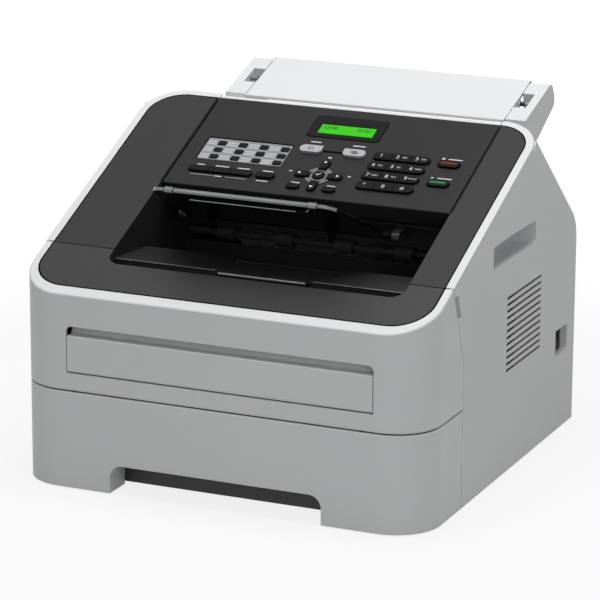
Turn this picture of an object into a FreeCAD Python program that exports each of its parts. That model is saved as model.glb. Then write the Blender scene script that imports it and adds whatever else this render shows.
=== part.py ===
import FreeCAD, Part
import math
import os
from FreeCAD import Placement, Rotation, Vector

# Overall body, in millimetres: X to the right, Y to the back, Z up, origin under the middle
WIDTH = 368.0
DEPTH = 360.0
FRONT_EDGE_HEIGHT = 168.6
SLOPE = 23.53
FRONT_CORNER = 40.0
WALL = 2.5
SEAM = 0.8
GROUND_GAP = 1.5
FIT = 0.05
CLEAR = 0.5
EDGE_ROUND = 2.0
REACH = 400.0

# Seams between the covers
TRAY_TOP = 85.0
COVER_GAP = 1.0
SIDE_SEAM_FROM_FRONT = 86.0
SIDE_SEAM_BEND = 126.0
SIDE_SEAM_SLOPE = 65.5

# Rim and rear of the sloping top, measured along the slope
RIM = 7.0
RIM_FRONT = 11.0
RIM_THICK = 4.0
RIM_BACK = 6.3
TOP_LENGTH = 295.3
TOP_CORNER = 37.0
BACK_SLOPE = 40.4
BACK_SLOPE_FOOT = 182.7
BACK_ROUND = 35.0
REAR_WALL_DROP = 40.0
CORNER_BLOCK_FRONT = 62.0
CORNER_BLOCK_BACK = 76.0
CORNER_BLOCK_WIDTH = 8.0
REAR_FLANGE = 21.0

# Dark top: trim on the front cover, strips and output well
TRIM_THICK = 2.0
TRIM_GAP = 0.4
TRIM_CORNER = 33.0
COVER_TOP_THICK = 4.5
WELL_LEFT = -119.6
WELL_RIGHT = 146.0
WELL_FRONT = 46.5
WELL_CORNER = 12.0
WELL_LIP = 2.0
WELL_LIP_DROP = 11.0
WELL_SHELF_END = 54.0
FLOOR_FRONT_DROP = 14.0
STRIP_THICK = 3.0
FLOOR_RISE = 18.2
FLOOR_CREASE_BACK = 58.0
FLOOR_CREASE_DROP = 3.5
FLOOR_LOW_BACK = 122.0
FLOOR_LOW_DROP = 35.0
FLOOR_END_BACK = 142.0
FLOOR_THICK = 2.5
EXIT_SLOT_LOW = 171.0
EXIT_SLOT_HIGH = 186.0

# Paper stop in the floor of the well
STOP_LEFT = -22.0
STOP_RIGHT = 57.0
STOP_OVERHANG = 5.5
STOP_AXIS_BACK = 38.0
STOP_THICK = 3.0
STOP_PIN = 1.5
STOP_PIN_REACH = 4.0
STOP_POCKET = 8.0
STOP_POCKET_LENGTH = 16.0

# Control panel
PANEL_LEFT = -117.6
PANEL_RIGHT = 145.0
PANEL_FRONT = 162.0
PANEL_BACK = 289.0
PANEL_SKIN = 2.5
PANEL_FACE = 15.0
PANEL_SKIRT = 11.0
PANEL_CORNER = 3.0
BEAD_RADIUS = 4.5
BEAD_AXIS = 291.0
BEAD_PIN = 1.5
BEAD_PIN_LENGTH = 12.0

# Display
WINDOW_LEFT = -19.2
WINDOW_RIGHT = 48.4
WINDOW_LOW = 246.8
WINDOW_HIGH = 277.6
WINDOW_CORNER = 4.0
WINDOW_PROUD = 0.6
WINDOW_THICK = 2.0
WINDOW_LEDGE = 3.0
DISPLAY_LEFT = -10.4
DISPLAY_RIGHT = 41.0
DISPLAY_LOW = 252.3
DISPLAY_HIGH = 266.5
DISPLAY_THICK = 4.0

# Keys: places are x and the distance along the slope
KEY_GAP = 0.35
KEY_TRAVEL = 1.0
KEY_PROUD = 2.0
KEY_CHAMFER = 0.5
KEY_SPLIT = 0.5
BOARD_THICK = 1.6
BOARD_MARGIN = 5.0
BOARD_POST = 3.0
NUMBER_LEFT = 52.2
NUMBER_RIGHT = 104.0
NUMBER_KEYS = 3
NUMBER_TOP_ROW = 227.5
NUMBER_PITCH = 14.0
NUMBER_HEIGHT = 10.0
NUMBER_ROWS = ("number_keys_1_2_3", "number_keys_4_5_6", "number_keys_7_8_9", "number_keys_star_0_hash")
STOP_KEY_X = 121.3
STOP_KEY_S = 226.5
START_KEY_S = 199.0
STOP_KEY_WIDTH = 20.0
STOP_KEY_HEIGHT = 9.5
MODE_LEFT_X = -5.5
MODE_RIGHT_X = 34.7
MODE_S = 227.5
MODE_WIDTH = 20.5
MODE_HEIGHT = 9.5
NAV_X = 15.2
NAV_S = 192.7
NAV_OFFSET = 15.2
NAV_SIDE_OFFSET = 15.0
NAV_LONG = 14.0
NAV_WIDE = 8.0
OK_RADIUS = 5.4
SMALL_KEY_LEFT_X = -1.5
SMALL_KEY_RIGHT_X = 31.4
SMALL_KEY_S = 174.8
SMALL_KEY_WIDTH = 12.0
SMALL_KEY_HEIGHT = 7.0
FUNCTION_LEFT = -103.3
FUNCTION_RIGHT = -43.3
FUNCTION_S = 184.8
FUNCTION_HEIGHT = 7.5
FUNCTION_KEYS = 3
OPTION_X = -31.3
OPTION_WIDTH = 17.8
ONE_TOUCH_X = -87.5
ONE_TOUCH_S = 203.8
ONE_TOUCH_PITCH_X = 19.83
ONE_TOUCH_PITCH_S = 9.8
ONE_TOUCH_COLUMNS = 4
ONE_TOUCH_ROWS = 3
ONE_TOUCH_WIDTH = 7.6
ONE_TOUCH_HEIGHT = 5.6
ONE_TOUCH_CORNER = 1.2

# Document unit behind the panel
FLAP_ANGLE = 18.0
FLAP_FROM_FRONT = 272.6
EAR_FROM_FRONT = 274.0
FLAP_RISE = 118.55
FLAP_LENGTH = 70.4
FLAP_LEFT = -97.0
FLAP_RIGHT = 145.6
FLAP_THICK = 3.0
FLAP_AXIS_ALONG = 37.5
FLAP_AXIS_DEEP = 5.0
FLAP_PIN = 2.0
EAR_LEFT = -117.0
EAR_RIGHT = 164.7
EAR_CORNER = 8.0
EAR_TIP_BACK = 10.0
EAR_TIP_DROP = 20.0
EAR_UNDER_SLOPE = 28.1
EAR_NOTCH_START = 22.8
EAR_NOTCH_LENGTH = 24.0
EAR_NOTCH_WIDTH = 11.0
EAR_NOTCH_DEPTH = 13.0
FLAP_LUG = 4.0

# Document guide below the panel, scan bar and document roller
GUIDE_DEPTH = 21.0
GUIDE_THICK = 3.0
GUIDE_FRONT = 166.0
GUIDE_BACK = 278.0
GUIDE_LEG = 9.0
GUIDE_NOSE = 14.0
SCAN_S = 236.0
SCAN_WIDTH = 18.0
SCAN_HEIGHT = 11.0
SCAN_HALF_LENGTH = 112.0
SCAN_PROUD = 2.0
DOC_ROLLER_S = 266.0
DOC_ROLLER_RADIUS = 7.0
DOC_ROLLER_HALF = 16.0
DOC_SHAFT = 2.5

# Document output support and its extension
SUPPORT_AXIS_Y = -30.0
SUPPORT_AXIS_Z = 207.0
SUPPORT_RISE = 25.0
SUPPORT_LENGTH = 110.0
SUPPORT_HALF_FRONT = 81.0
SUPPORT_HALF_BACK = 94.0
SUPPORT_THICK = 3.2
SUPPORT_CORNER = 12.0
SUPPORT_BORDER = 17.0
SUPPORT_PIN = 2.0
SUPPORT_PIN_REACH = 5.0
SUPPORT_KNUCKLE = 4.0
SUPPORT_FIN_X = 55.0
SUPPORT_FIN_LENGTH = 38.0
SUPPORT_FIN_DROP = 17.0
SUPPORT_FIN_THICK = 2.0
SUPPORT_FIN_START = 22.0
EXTENSION_HALF = 60.0
EXTENSION_LENGTH = 27.0
EXTENSION_HALF_FREE = 47.0
EXTENSION_BARREL = 2.2
EXTENSION_PIN = 1.5
EXTENSION_GAP = 1.5

# Front cover hinge and manual feed cover
HINGE_IN = 3.0
HINGE_UP = 2.6
HINGE_RING = 1.8
HINGE_PIN = 1.0
HINGE_PIN_LENGTH = 12.0
HINGE_SKIN = 0.9
COVER_BOTTOM_ROUND = 2.0
FEED_LEFT = -134.0
FEED_RIGHT = 139.5
FEED_BOTTOM = 102.0
FEED_TOP = 133.5
FEED_RECESS_TOP = 141.5
FEED_CORNER = 5.0
FEED_LOW_CORNER = 1.5
FEED_THICK = 2.2
FEED_SCOOP = 9.0
FEED_HEADROOM = 1.6
FEED_PIN = 1.0
FEED_PIN_REACH = 4.0
FEED_LUG = 6.0

# Paper tray
HAND_HALF = 95.5
HAND_TOP = 26.2
HAND_CORNER = 11.0
HAND_DEPTH = 28.0
TRAY_SIDE_GAP = 7.0
TRAY_BACK = 150.0
TRAY_FLOOR = 4.0
TRAY_RIM = 56.0
TRAY_CORNER = 8.0
RUNNER_LOW = 40.0
RUNNER_HIGH = 44.0
RUNNER_CLEAR = 0.5
GUSSET_X = 108.0
PLATE_FRONT_HALF = 104.0
PLATE_BACK_HALF = 66.0
PLATE_FRONT_Y = -144.0
PLATE_WAIST_Y = -66.0
PLATE_BACK_Y = 20.0
PLATE_THICK = 1.2
PLATE_BARREL = 2.0
WIDTH_GUIDE_INNER = 105.5
WIDTH_GUIDE_START = -58.0
WIDTH_GUIDE_END = 10.0
WIDTH_GUIDE_HEIGHT = 48.0
WIDTH_GUIDE_FOOT = 14.0
WIDTH_GUIDE_THICK = 2.5
LENGTH_GUIDE_HALF = 24.0
LENGTH_GUIDE_HEIGHT = 42.0
LENGTH_GUIDE_FOOT = 26.0
LENGTH_GUIDE_THICK = 3.0
GUIDE_LIFT = 0.3

# Base frame
FRAME_SIDE_ROOM = 22.5
FRAME_WALL = 3.0
FRAME_FRONT = 30.0
FRAME_BACK = 28.0
FRAME_LOW = 4.0
FRAME_REAR_HEIGHT = 186.0
DECK_HEIGHT = 84.0
DECK_THICK = 3.0
DECK_FRONT = 85.0
FLANGE_FRONT = 92.0
FLANGE_BACK = 12.0
FLANGE_INSET = 7.0
FOOT_RADIUS = 9.0
FOOT_HEIGHT = 4.0
FOOT_INSET = 26.0
FOOT_FRONT = 108.0
FOOT_BACK = 26.0

# Print engine
PICKUP_FROM_FRONT = 58.0
PICKUP_Z = 84.0
PICKUP_RADIUS = 11.0
PICKUP_HALF = 18.0
SHAFT = 3.0
EJECT_Y = 27.0
EJECT_Z = 178.0
EJECT_RADIUS = 6.5
EJECT_ROLLERS = 4
EJECT_PITCH = 56.0
EJECT_LENGTH = 16.0
FUSER_Y = 96.0
FUSER_Z = 126.0
FUSER_ROLLER = 11.0
FUSER_ROLLER_GAP = 0.3
FUSER_SIDE_GAP = 16.0
FUSER_WALL = 3.0
FUSER_DEPTH = 24.0
FUSER_HEIGHT = 62.0
DRUM_FRONT = -142.0
DRUM_BACK = 48.0
DRUM_HEIGHT = 44.0
DRUM_SIDE_GAP = 8.0
DRUM_WALL = 3.0
DRUM_FRONT_LIP = 18.0
TONER_SIDE_GAP = 8.0
TONER_FRONT = -128.0
TONER_BACK = -30.0
TONER_TOP = 52.0
TONER_HANDLE = 44.0
LASER_FRONT = -112.0
LASER_BACK = -34.0
LASER_SIDE_GAP = 6.0
LASER_LOW = 148.0
MOTOR_Y = 20.0
MOTOR_Z = 118.0
MOTOR_RADIUS = 21.0
MOTOR_LENGTH = 24.0
MOTOR_PLATE = 3.0
MOTOR_FLANGE = 52.0
MAIN_BOARD_FRONT = -70.0
MAIN_BOARD_BACK = 46.0
MAIN_BOARD_LOW = 18.0
MAIN_BOARD_HIGH = 132.0
CHIP = 22.0
CHIP_THICK = 3.0
SUPPLY_LENGTH = 88.0
SUPPLY_FROM_BACK = 34.0
SUPPLY_LOW = 12.0
SUPPLY_HIGH = 62.0
SUPPLY_DEEP = 30.0

# Side cover details, right side first
GRIP_FRONT = -29.0
GRIP_BACK = 73.0
GRIP_LOW = 187.0
GRIP_HIGH = 208.0
GRIP_DEPTH = 20.0
GRIP_CORNER = 4.0
GRIP_WALL = 2.0
LOUVRE_FRONT = 6.5
LOUVRE_BACK = 90.5
LOUVRE_LOW = 91.0
LOUVRE_PITCH = 5.75
LOUVRE_COUNT = 12
LOUVRE_SLOT = 2.6
SWITCH_FRONT = 131.0
SWITCH_BACK = 161.0
SWITCH_LOW = 70.0
SWITCH_HIGH = 93.6
SWITCH_DEPTH = 9.0
SWITCH_CORNER = 2.0
ROCKER_MARGIN = 4.0
ROCKER_THROW = 8.0
ROCKER_PIN = 0.6
NOTCH_LONG = 20.0
NOTCH_WIDE = 8.0
NOTCH_DEPTH = 5.0
NOTCH_BELOW_TOP = 8.0

# Rear cover, back cover, mains inlet and line sockets
DOOR_HALF = 104.0
DOOR_LOW = 96.0
DOOR_HIGH = 164.0
DOOR_CORNER = 4.0
DOOR_LOW_CORNER = 1.0
DOOR_PIN = 1.2
DOOR_PIN_REACH = 4.0
DOOR_BARREL = 2.5
DOOR_LUG = 6.0
INLET_FROM_SIDE = 32.0
INLET_Z = 34.0
INLET_WIDTH = 28.0
INLET_HEIGHT = 20.0
INLET_DEPTH = 22.0
INLET_PIN = 1.2
JACK_FROM_SIDE = 26.0
JACK_Z = 60.0
JACK_PITCH = 22.0
JACK_SIZE = 14.0
JACK_DEPTH = 18.0
JACK_HOLE = 10.0

HALF = WIDTH / 2
FRONT = -DEPTH / 2
BACK = DEPTH / 2
RISE = math.tan(math.radians(SLOPE))
ALONG = math.cos(math.radians(SLOPE))
UP = math.sin(math.radians(SLOPE))
FALL = math.tan(math.radians(BACK_SLOPE))
SLOPE_FRAME = Placement(Vector(0, FRONT, FRONT_EDGE_HEIGHT), Rotation(Vector(1, 0, 0), SLOPE))
SIDE_SEAM_Y = FRONT + SIDE_SEAM_FROM_FRONT
COVER_BOTTOM = TRAY_TOP + COVER_GAP
FLOOR_FRONT_HEIGHT = FRONT_EDGE_HEIGHT + FLOOR_RISE
FLAP_FRONT_Y = FRONT + FLAP_FROM_FRONT
FLAP_FRONT_Z = FRONT_EDGE_HEIGHT + FLAP_RISE
EAR_FRONT = FRONT + EAR_FROM_FRONT
PICKUP_Y = FRONT + PICKUP_FROM_FRONT
SUPPLY_BACK = BACK - SUPPLY_FROM_BACK
SUPPLY_FRONT = SUPPLY_BACK - SUPPLY_LENGTH
FRAME_HALF = WIDTH_GUIDE_INNER + FRAME_SIDE_ROOM
TRAY_HALF = FRAME_HALF - TRAY_SIDE_GAP
DRUM_HALF = FRAME_HALF - DRUM_SIDE_GAP
TONER_HALF = DRUM_HALF - TONER_SIDE_GAP
LASER_HALF = FRAME_HALF - LASER_SIDE_GAP
FUSER_HALF = FRAME_HALF - FUSER_SIDE_GAP
INLET_X = HALF - INLET_FROM_SIDE
JACK_X = JACK_FROM_SIDE - HALF


def slope_height(y, normal=0.0):
    """Height of the sloping top at y, or of a plane parallel to it."""
    return FRONT_EDGE_HEIGHT + (y - FRONT) * RISE + normal / ALONG


def slope_point(along, normal=0.0):
    """(y, z) of a point given along the slope and square to it."""
    return (FRONT + along * ALONG - normal * UP, FRONT_EDGE_HEIGHT + along * UP + normal * ALONG)


def back_height(y, drop=0.0):
    """Height of the back slope at y, or of a plane parallel to it and below it."""
    return BACK_SLOPE_FOOT + (BACK - y) * FALL - drop / math.cos(math.radians(BACK_SLOPE))


SIDE_SEAM_TOP_Y = slope_point(SIDE_SEAM_SLOPE)[0]
PEAK_Y = (BACK_SLOPE_FOOT + BACK * FALL - FRONT_EDGE_HEIGHT + FRONT * RISE) / (RISE + FALL)
FLOOR_FRONT_Y = slope_point(SIDE_SEAM_SLOPE + SEAM)[0]
HINGE_Y = FRONT + HINGE_IN
HINGE_Z = COVER_BOTTOM + HINGE_UP
STOP_Y = FLOOR_FRONT_Y + STOP_AXIS_BACK
FLAP_COS = math.cos(math.radians(FLAP_ANGLE))
FLAP_SIN = math.sin(math.radians(FLAP_ANGLE))
BOARD_TOP = -PANEL_SKIN - KEY_TRAVEL - BOARD_POST


def corner_edges(corners, place):
    """Edges of a closed outline whose corners (u, v, radius) are rounded."""
    count = len(corners)
    starts = []
    middles = []
    ends = []
    for index in range(count):
        corner = corners[index]
        point = Vector(corner[0], corner[1], 0)
        radius = corner[2] if len(corner) > 2 else 0.0
        before = Vector(corners[index - 1][0], corners[index - 1][1], 0) - point
        after = Vector(corners[(index + 1) % count][0], corners[(index + 1) % count][1], 0) - point
        before.normalize()
        after.normalize()
        if radius == 0.0:
            starts.append(point)
            middles.append(None)
            ends.append(point)
            continue
        half_angle = before.getAngle(after) / 2
        bisector = before + after
        bisector.normalize()
        centre = point + bisector * (radius / math.sin(half_angle))
        setback = radius / math.tan(half_angle)
        starts.append(point + before * setback)
        middles.append(centre - bisector * radius)
        ends.append(point + after * setback)
    edges = []
    for index in range(count):
        if middles[index] is not None:
            arc = Part.Arc(place(starts[index]), place(middles[index]), place(ends[index]))
            edges.append(arc.toShape())
        following = starts[(index + 1) % count]
        if ends[index].distanceToPoint(following) > 1e-6:
            edges.append(Part.LineSegment(place(ends[index]), place(following)).toShape())
    return edges


def prism(corners, axis, start, end):
    """Solid of a rounded outline drawn square to an axis, from start to end along it."""
    if axis == "x":
        place = lambda p: Vector(start, p.x, p.y)
        sweep = Vector(end - start, 0, 0)
    elif axis == "y":
        place = lambda p: Vector(p.x, start, p.y)
        sweep = Vector(0, end - start, 0)
    else:
        place = lambda p: Vector(p.x, p.y, start)
        sweep = Vector(0, 0, end - start)
    face = Part.Face(Part.Wire(corner_edges(corners, place)))
    return face.extrude(sweep)


def box(x0, x1, y0, y1, z0, z1):
    """Block between two places on each axis; the two in X may come in either order."""
    return Part.makeBox(abs(x1 - x0), y1 - y0, z1 - z0, Vector(min(x0, x1), y0, z0))


def rectangle(u0, u1, v0, v1, radius=0.0):
    return [(u0, v0, radius), (u1, v0, radius), (u1, v1, radius), (u0, v1, radius)]


def door_outline(u0, u1, v0, v1, low_radius, high_radius):
    """Outline of a hinged panel or its opening: small corners at the hinge, larger ones at the free edge."""
    return [(u0, v0, low_radius), (u1, v0, low_radius), (u1, v1, high_radius), (u0, v1, high_radius)]


def rod(x0, x1, y, z, radius):
    """Round bar along X between two places in either order."""
    return Part.makeCylinder(radius, abs(x1 - x0), Vector(min(x0, x1), y, z), Vector(1, 0, 0))


def lay(shape):
    """Turns a shape drawn as (x, along slope, square to slope) onto the sloping top."""
    laid = shape.copy()
    laid.Placement = SLOPE_FRAME.multiply(laid.Placement)
    return laid


def drop_prism(corners, depth):
    """Solid of an outline on the sloping top, carried straight down."""
    face = Part.Face(Part.Wire(corner_edges(corners, lambda p: p)))
    return lay(face).extrude(Vector(0, 0, -depth))


def lay_rod(x0, x1, along, normal, radius):
    y, z = slope_point(along, normal)
    return rod(x0, x1, y, z, radius)


def join(shapes):
    whole = shapes[0]
    if len(shapes) > 1:
        whole = whole.fuse(shapes[1:])
    return whole.removeSplitter()


def round_edges(shape, radius, chosen):
    edges = [edge for edge in shape.Edges if chosen(edge)]
    return shape.makeFillet(radius, edges)


def front_plan(inset, back):
    """Plan of the front: straight sides and two round corners."""
    radius = FRONT_CORNER - inset
    side = HALF - inset
    nose = FRONT + inset
    return [(-side, back), (-side, nose, radius), (side, nose, radius), (side, back)]


def top_outline(inset_side, inset_back, start):
    """Outline of the sloping top with its two round rear corners."""
    side = HALF - inset_side
    radius = TOP_CORNER - max(inset_side, inset_back)
    back = TOP_LENGTH - inset_back
    return [(-side, start), (side, start), (side, back, radius), (-side, back, radius)]


def on_slope(edge):
    return all(abs(v.Z - slope_height(v.Y)) < 1e-3 for v in edge.Vertexes)


def behind_seam(edge, seam_y):
    return all(abs(v.Y - seam_y) < 1e-3 for v in edge.Vertexes)


# Front cover

def cover_zone(bottom, normal, overrun):
    """Side view of the space in front of the side seam."""
    seam = SIDE_SEAM_Y - SEAM / 2 + overrun
    top = SIDE_SEAM_TOP_Y - SEAM / 2 + overrun
    nose = FRONT - overrun
    return [
        (nose, bottom),
        (seam, bottom),
        (seam, SIDE_SEAM_BEND),
        (top, slope_height(top, normal)),
        (nose, slope_height(nose, normal)),
    ]


def trim_outline(grow, back):
    side = HALF - RIM + grow
    front = RIM_FRONT - grow
    return [(-side, back), (-side, front, TRIM_CORNER), (side, front, TRIM_CORNER), (side, back)]


def well_outline(grow, back):
    return [
        (WELL_LEFT - grow, back),
        (WELL_LEFT - grow, WELL_FRONT - grow, WELL_CORNER + grow),
        (WELL_RIGHT + grow, WELL_FRONT - grow, WELL_CORNER + grow),
        (WELL_RIGHT + grow, back),
    ]


def feed_axis():
    return (FRONT + FEED_THICK, FEED_BOTTOM + FEED_THICK)


def make_front_cover():
    outer = prism(front_plan(0, SIDE_SEAM_Y), "z", COVER_BOTTOM, REACH)
    outer = outer.common(prism(cover_zone(COVER_BOTTOM, 0, 0), "x", -HALF, HALF))
    seam_top = SIDE_SEAM_TOP_Y - SEAM / 2
    outer = round_edges(outer, EDGE_ROUND, lambda e: on_slope(e) and not behind_seam(e, seam_top))
    low = lambda e: all(abs(v.Z - COVER_BOTTOM) < 1e-3 for v in e.Vertexes)
    seam = SIDE_SEAM_Y - SEAM / 2
    outer = round_edges(outer, COVER_BOTTOM_ROUND, lambda e: low(e) and not behind_seam(e, seam))
    inner = prism(front_plan(WALL, SIDE_SEAM_Y + WALL), "z", 0, REACH)
    inner = inner.common(prism(cover_zone(0, -COVER_TOP_THICK, WALL), "x", -HALF, HALF))
    shell = outer.cut(inner)
    pocket = lay(prism(trim_outline(TRIM_GAP, SIDE_SEAM_SLOPE + WALL), "z", -TRIM_THICK, WALL))
    throat = lay(prism(well_outline(WELL_LIP + TRIM_GAP, SIDE_SEAM_SLOPE + WALL), "z", -REACH / 8, WALL))
    shell = shell.cut(pocket).cut(throat).cut(behind_cover())
    opening = door_outline(FEED_LEFT - SEAM, FEED_RIGHT + SEAM, FEED_BOTTOM - SEAM, FEED_RECESS_TOP,
            FEED_LOW_CORNER, FEED_CORNER)
    axis_y, axis_z = feed_axis()
    pieces = [shell]
    for side in (-1, 1):
        edge = FEED_LEFT - SEAM if side < 0 else FEED_RIGHT + SEAM
        lug = box(edge, edge + side * FEED_LUG, FRONT + WALL / 2,
                  axis_y + FEED_LUG / 2, axis_z - FEED_LUG / 2, axis_z + FEED_LUG / 2)
        pieces.append(lug)
        inside = FRAME_HALF + FRAME_WALL + CLEAR
        knuckle = prism(rectangle(FRONT + WALL / 2, HINGE_Y + HINGE_RING, HINGE_Z - HINGE_RING / 2,
                                  HINGE_Z + HINGE_RING), "x", side * inside, side * (inside + FEED_LUG))
        pieces.append(knuckle)
        pieces.append(rod(side * inside, side * (inside + FEED_LUG), HINGE_Y, HINGE_Z, HINGE_RING))
    cover = join(pieces)
    cover = cover.cut(prism(opening, "y", FRONT - WALL, FRONT + WALL))
    cover = cover.cut(rod(FEED_LEFT - FEED_LUG, FEED_RIGHT + FEED_LUG, axis_y, axis_z, FEED_PIN + FIT))
    cover = cover.cut(rod(-HALF + FRONT_CORNER, HALF - FRONT_CORNER, HINGE_Y, HINGE_Z, HINGE_PIN + FIT))
    for side in (-1, 1):
        near = side * (FRAME_HALF - CLEAR)
        far = side * (FRAME_HALF + FRAME_WALL + CLEAR)
        slot = box(near, far, FRONT + HINGE_SKIN, HINGE_Y + FEED_LUG,
                   COVER_BOTTOM - WALL, HINGE_Z)
        slot = slot.fuse(rod(near, far, HINGE_Y, HINGE_Z, HINGE_IN - HINGE_SKIN))
        cover = cover.cut(slot)
    return cover


def make_front_trim():
    back = SIDE_SEAM_SLOPE - SEAM / 2
    plate = lay(prism(trim_outline(0, back), "z", -TRIM_THICK, 0))
    lip = lay(prism(well_outline(WELL_LIP, back), "z", -WELL_LIP_DROP, -TRIM_THICK))
    hole = lay(prism(well_outline(0, back + WALL), "z", -REACH / 8, WALL))
    shelf = lay(box(WELL_LEFT - WELL_LIP / 2, WELL_RIGHT + WELL_LIP / 2, WELL_FRONT - WELL_LIP / 2,
            WELL_SHELF_END, -WELL_LIP_DROP,
                    -WELL_LIP_DROP + WELL_LIP))
    trim = join([join([plate, lip]).cut(hole), shelf])
    return trim.cut(behind_cover())


def behind_cover():
    """Space behind the top seam, where the well begins."""
    seam = SIDE_SEAM_TOP_Y - SEAM / 2
    return box(-HALF + RIM, HALF - RIM, seam, BACK, SIDE_SEAM_BEND, REACH)


def make_manual_feed_cover():
    barrel = 2 * FEED_THICK
    nose = FEED_THICK - 1e-3
    ledge = FEED_RECESS_TOP - FEED_HEADROOM
    profile = [
        (FRONT, FEED_BOTTOM, nose),
        (FRONT, FEED_TOP, 1.0),
        (FRONT + FEED_SCOOP, FEED_TOP, FEED_THICK),
        (FRONT + FEED_SCOOP, ledge),
        (FRONT + FEED_SCOOP + FEED_THICK, ledge),
        (FRONT + FEED_SCOOP + FEED_THICK, FEED_TOP - FEED_THICK, FEED_THICK),
        (FRONT + FEED_THICK, FEED_TOP - FEED_THICK),
        (FRONT + FEED_THICK, FEED_BOTTOM + barrel),
        (FRONT + barrel, FEED_BOTTOM + barrel),
        (FRONT + barrel, FEED_BOTTOM, nose),
    ]
    panel = prism(profile, "x", FEED_LEFT, FEED_RIGHT)
    face = door_outline(FEED_LEFT, FEED_RIGHT, FEED_BOTTOM, FEED_RECESS_TOP - FEED_HEADROOM,
            FEED_LOW_CORNER, FEED_CORNER)
    panel = panel.common(prism(face, "y", FRONT, FRONT + DEPTH / 8))
    axis_y, axis_z = feed_axis()
    left = rod(FEED_LEFT - FEED_PIN_REACH, FEED_LEFT + FEED_CORNER, axis_y, axis_z, FEED_PIN)
    right = rod(FEED_RIGHT - FEED_CORNER, FEED_RIGHT + FEED_PIN_REACH, axis_y, axis_z, FEED_PIN)
    return join([panel, left, right])


# Paper tray

def make_tray_front():
    outer = prism(front_plan(0, SIDE_SEAM_Y - SEAM / 2), "z", GROUND_GAP, TRAY_TOP)
    top = lambda e: all(abs(v.Z - TRAY_TOP) < 1e-3 for v in e.Vertexes)
    outer = round_edges(outer, EDGE_ROUND / 2, lambda e: top(e) and not behind_seam(e,
            SIDE_SEAM_Y - SEAM / 2))
    inner = prism(front_plan(WALL, SIDE_SEAM_Y + WALL), "z", 0, REACH)
    hand = rectangle(-HAND_HALF, HAND_HALF, -HAND_TOP, HAND_TOP, HAND_CORNER)
    grown = rectangle(-HAND_HALF - WALL, HAND_HALF + WALL, -HAND_TOP, HAND_TOP + WALL, HAND_CORNER + WALL)
    hood = prism(grown, "y", FRONT + WALL / 2, FRONT + HAND_DEPTH)
    hood = hood.common(box(-HALF, HALF, FRONT, FRONT + HAND_DEPTH, GROUND_GAP, TRAY_TOP))
    whole = join([outer.cut(inner), hood])
    return whole.cut(prism(hand, "y", FRONT - WALL, FRONT + HAND_DEPTH + WALL))


def make_paper_tray():
    front = FRONT + HAND_DEPTH
    outer = prism(rectangle(-TRAY_HALF, TRAY_HALF, front, TRAY_BACK, TRAY_CORNER), "z", TRAY_FLOOR,
            TRAY_RIM)
    inner = rectangle(-TRAY_HALF + WALL, TRAY_HALF - WALL, front + WALL, TRAY_BACK - WALL,
            TRAY_CORNER - WALL)
    tray = outer.cut(prism(inner, "z", TRAY_FLOOR + WALL, TRAY_RIM + WALL))
    pieces = [tray]
    reach = FRAME_HALF - RUNNER_CLEAR
    for side in (-1, 1):
        near = side * (TRAY_HALF - WALL)
        pieces.append(box(near, side * reach, front + TRAY_CORNER,
                          TRAY_BACK - TRAY_CORNER, RUNNER_LOW, RUNNER_HIGH))
        gusset = side * GUSSET_X
        pieces.append(box(gusset - WALL / 2, gusset + WALL / 2, FRONT + WALL, front + WALL / 2,
                          TRAY_FLOOR, TRAY_RIM))
    return join(pieces)


def tray_inside_floor():
    return TRAY_FLOOR + WALL


def make_pressure_plate():
    low = tray_inside_floor() + GUIDE_LIFT
    axis_z = low + PLATE_BARREL
    outline = [
        (-PLATE_FRONT_HALF, PLATE_FRONT_Y, TRAY_CORNER),
        (PLATE_FRONT_HALF, PLATE_FRONT_Y, TRAY_CORNER),
        (PLATE_FRONT_HALF, PLATE_WAIST_Y, TRAY_CORNER),
        (PLATE_BACK_HALF, PLATE_WAIST_Y),
        (PLATE_BACK_HALF, PLATE_BACK_Y),
        (-PLATE_BACK_HALF, PLATE_BACK_Y),
        (-PLATE_BACK_HALF, PLATE_WAIST_Y),
        (-PLATE_FRONT_HALF, PLATE_WAIST_Y, TRAY_CORNER),
    ]
    sheet = prism(outline, "z", axis_z - PLATE_THICK / 2, axis_z + PLATE_THICK / 2)
    barrel = rod(-PLATE_BACK_HALF, PLATE_BACK_HALF, PLATE_BACK_Y, axis_z, PLATE_BARREL)
    return join([sheet, barrel])


def make_width_guide(side):
    floor = tray_inside_floor() + GUIDE_LIFT
    profile = [
        (WIDTH_GUIDE_INNER, floor),
        (WIDTH_GUIDE_INNER + WIDTH_GUIDE_FOOT - WIDTH_GUIDE_THICK, floor),
        (WIDTH_GUIDE_INNER + WIDTH_GUIDE_FOOT - WIDTH_GUIDE_THICK, floor + WIDTH_GUIDE_THICK),
        (WIDTH_GUIDE_INNER + WIDTH_GUIDE_THICK, floor + WIDTH_GUIDE_THICK, WIDTH_GUIDE_THICK),
        (WIDTH_GUIDE_INNER + WIDTH_GUIDE_THICK, floor + WIDTH_GUIDE_HEIGHT),
        (WIDTH_GUIDE_INNER, floor + WIDTH_GUIDE_HEIGHT),
    ]
    guide = prism(profile, "y", WIDTH_GUIDE_START, WIDTH_GUIDE_END)
    if side < 0:
        guide = guide.mirror(Vector(0, 0, 0), Vector(1, 0, 0))
    return guide


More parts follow.
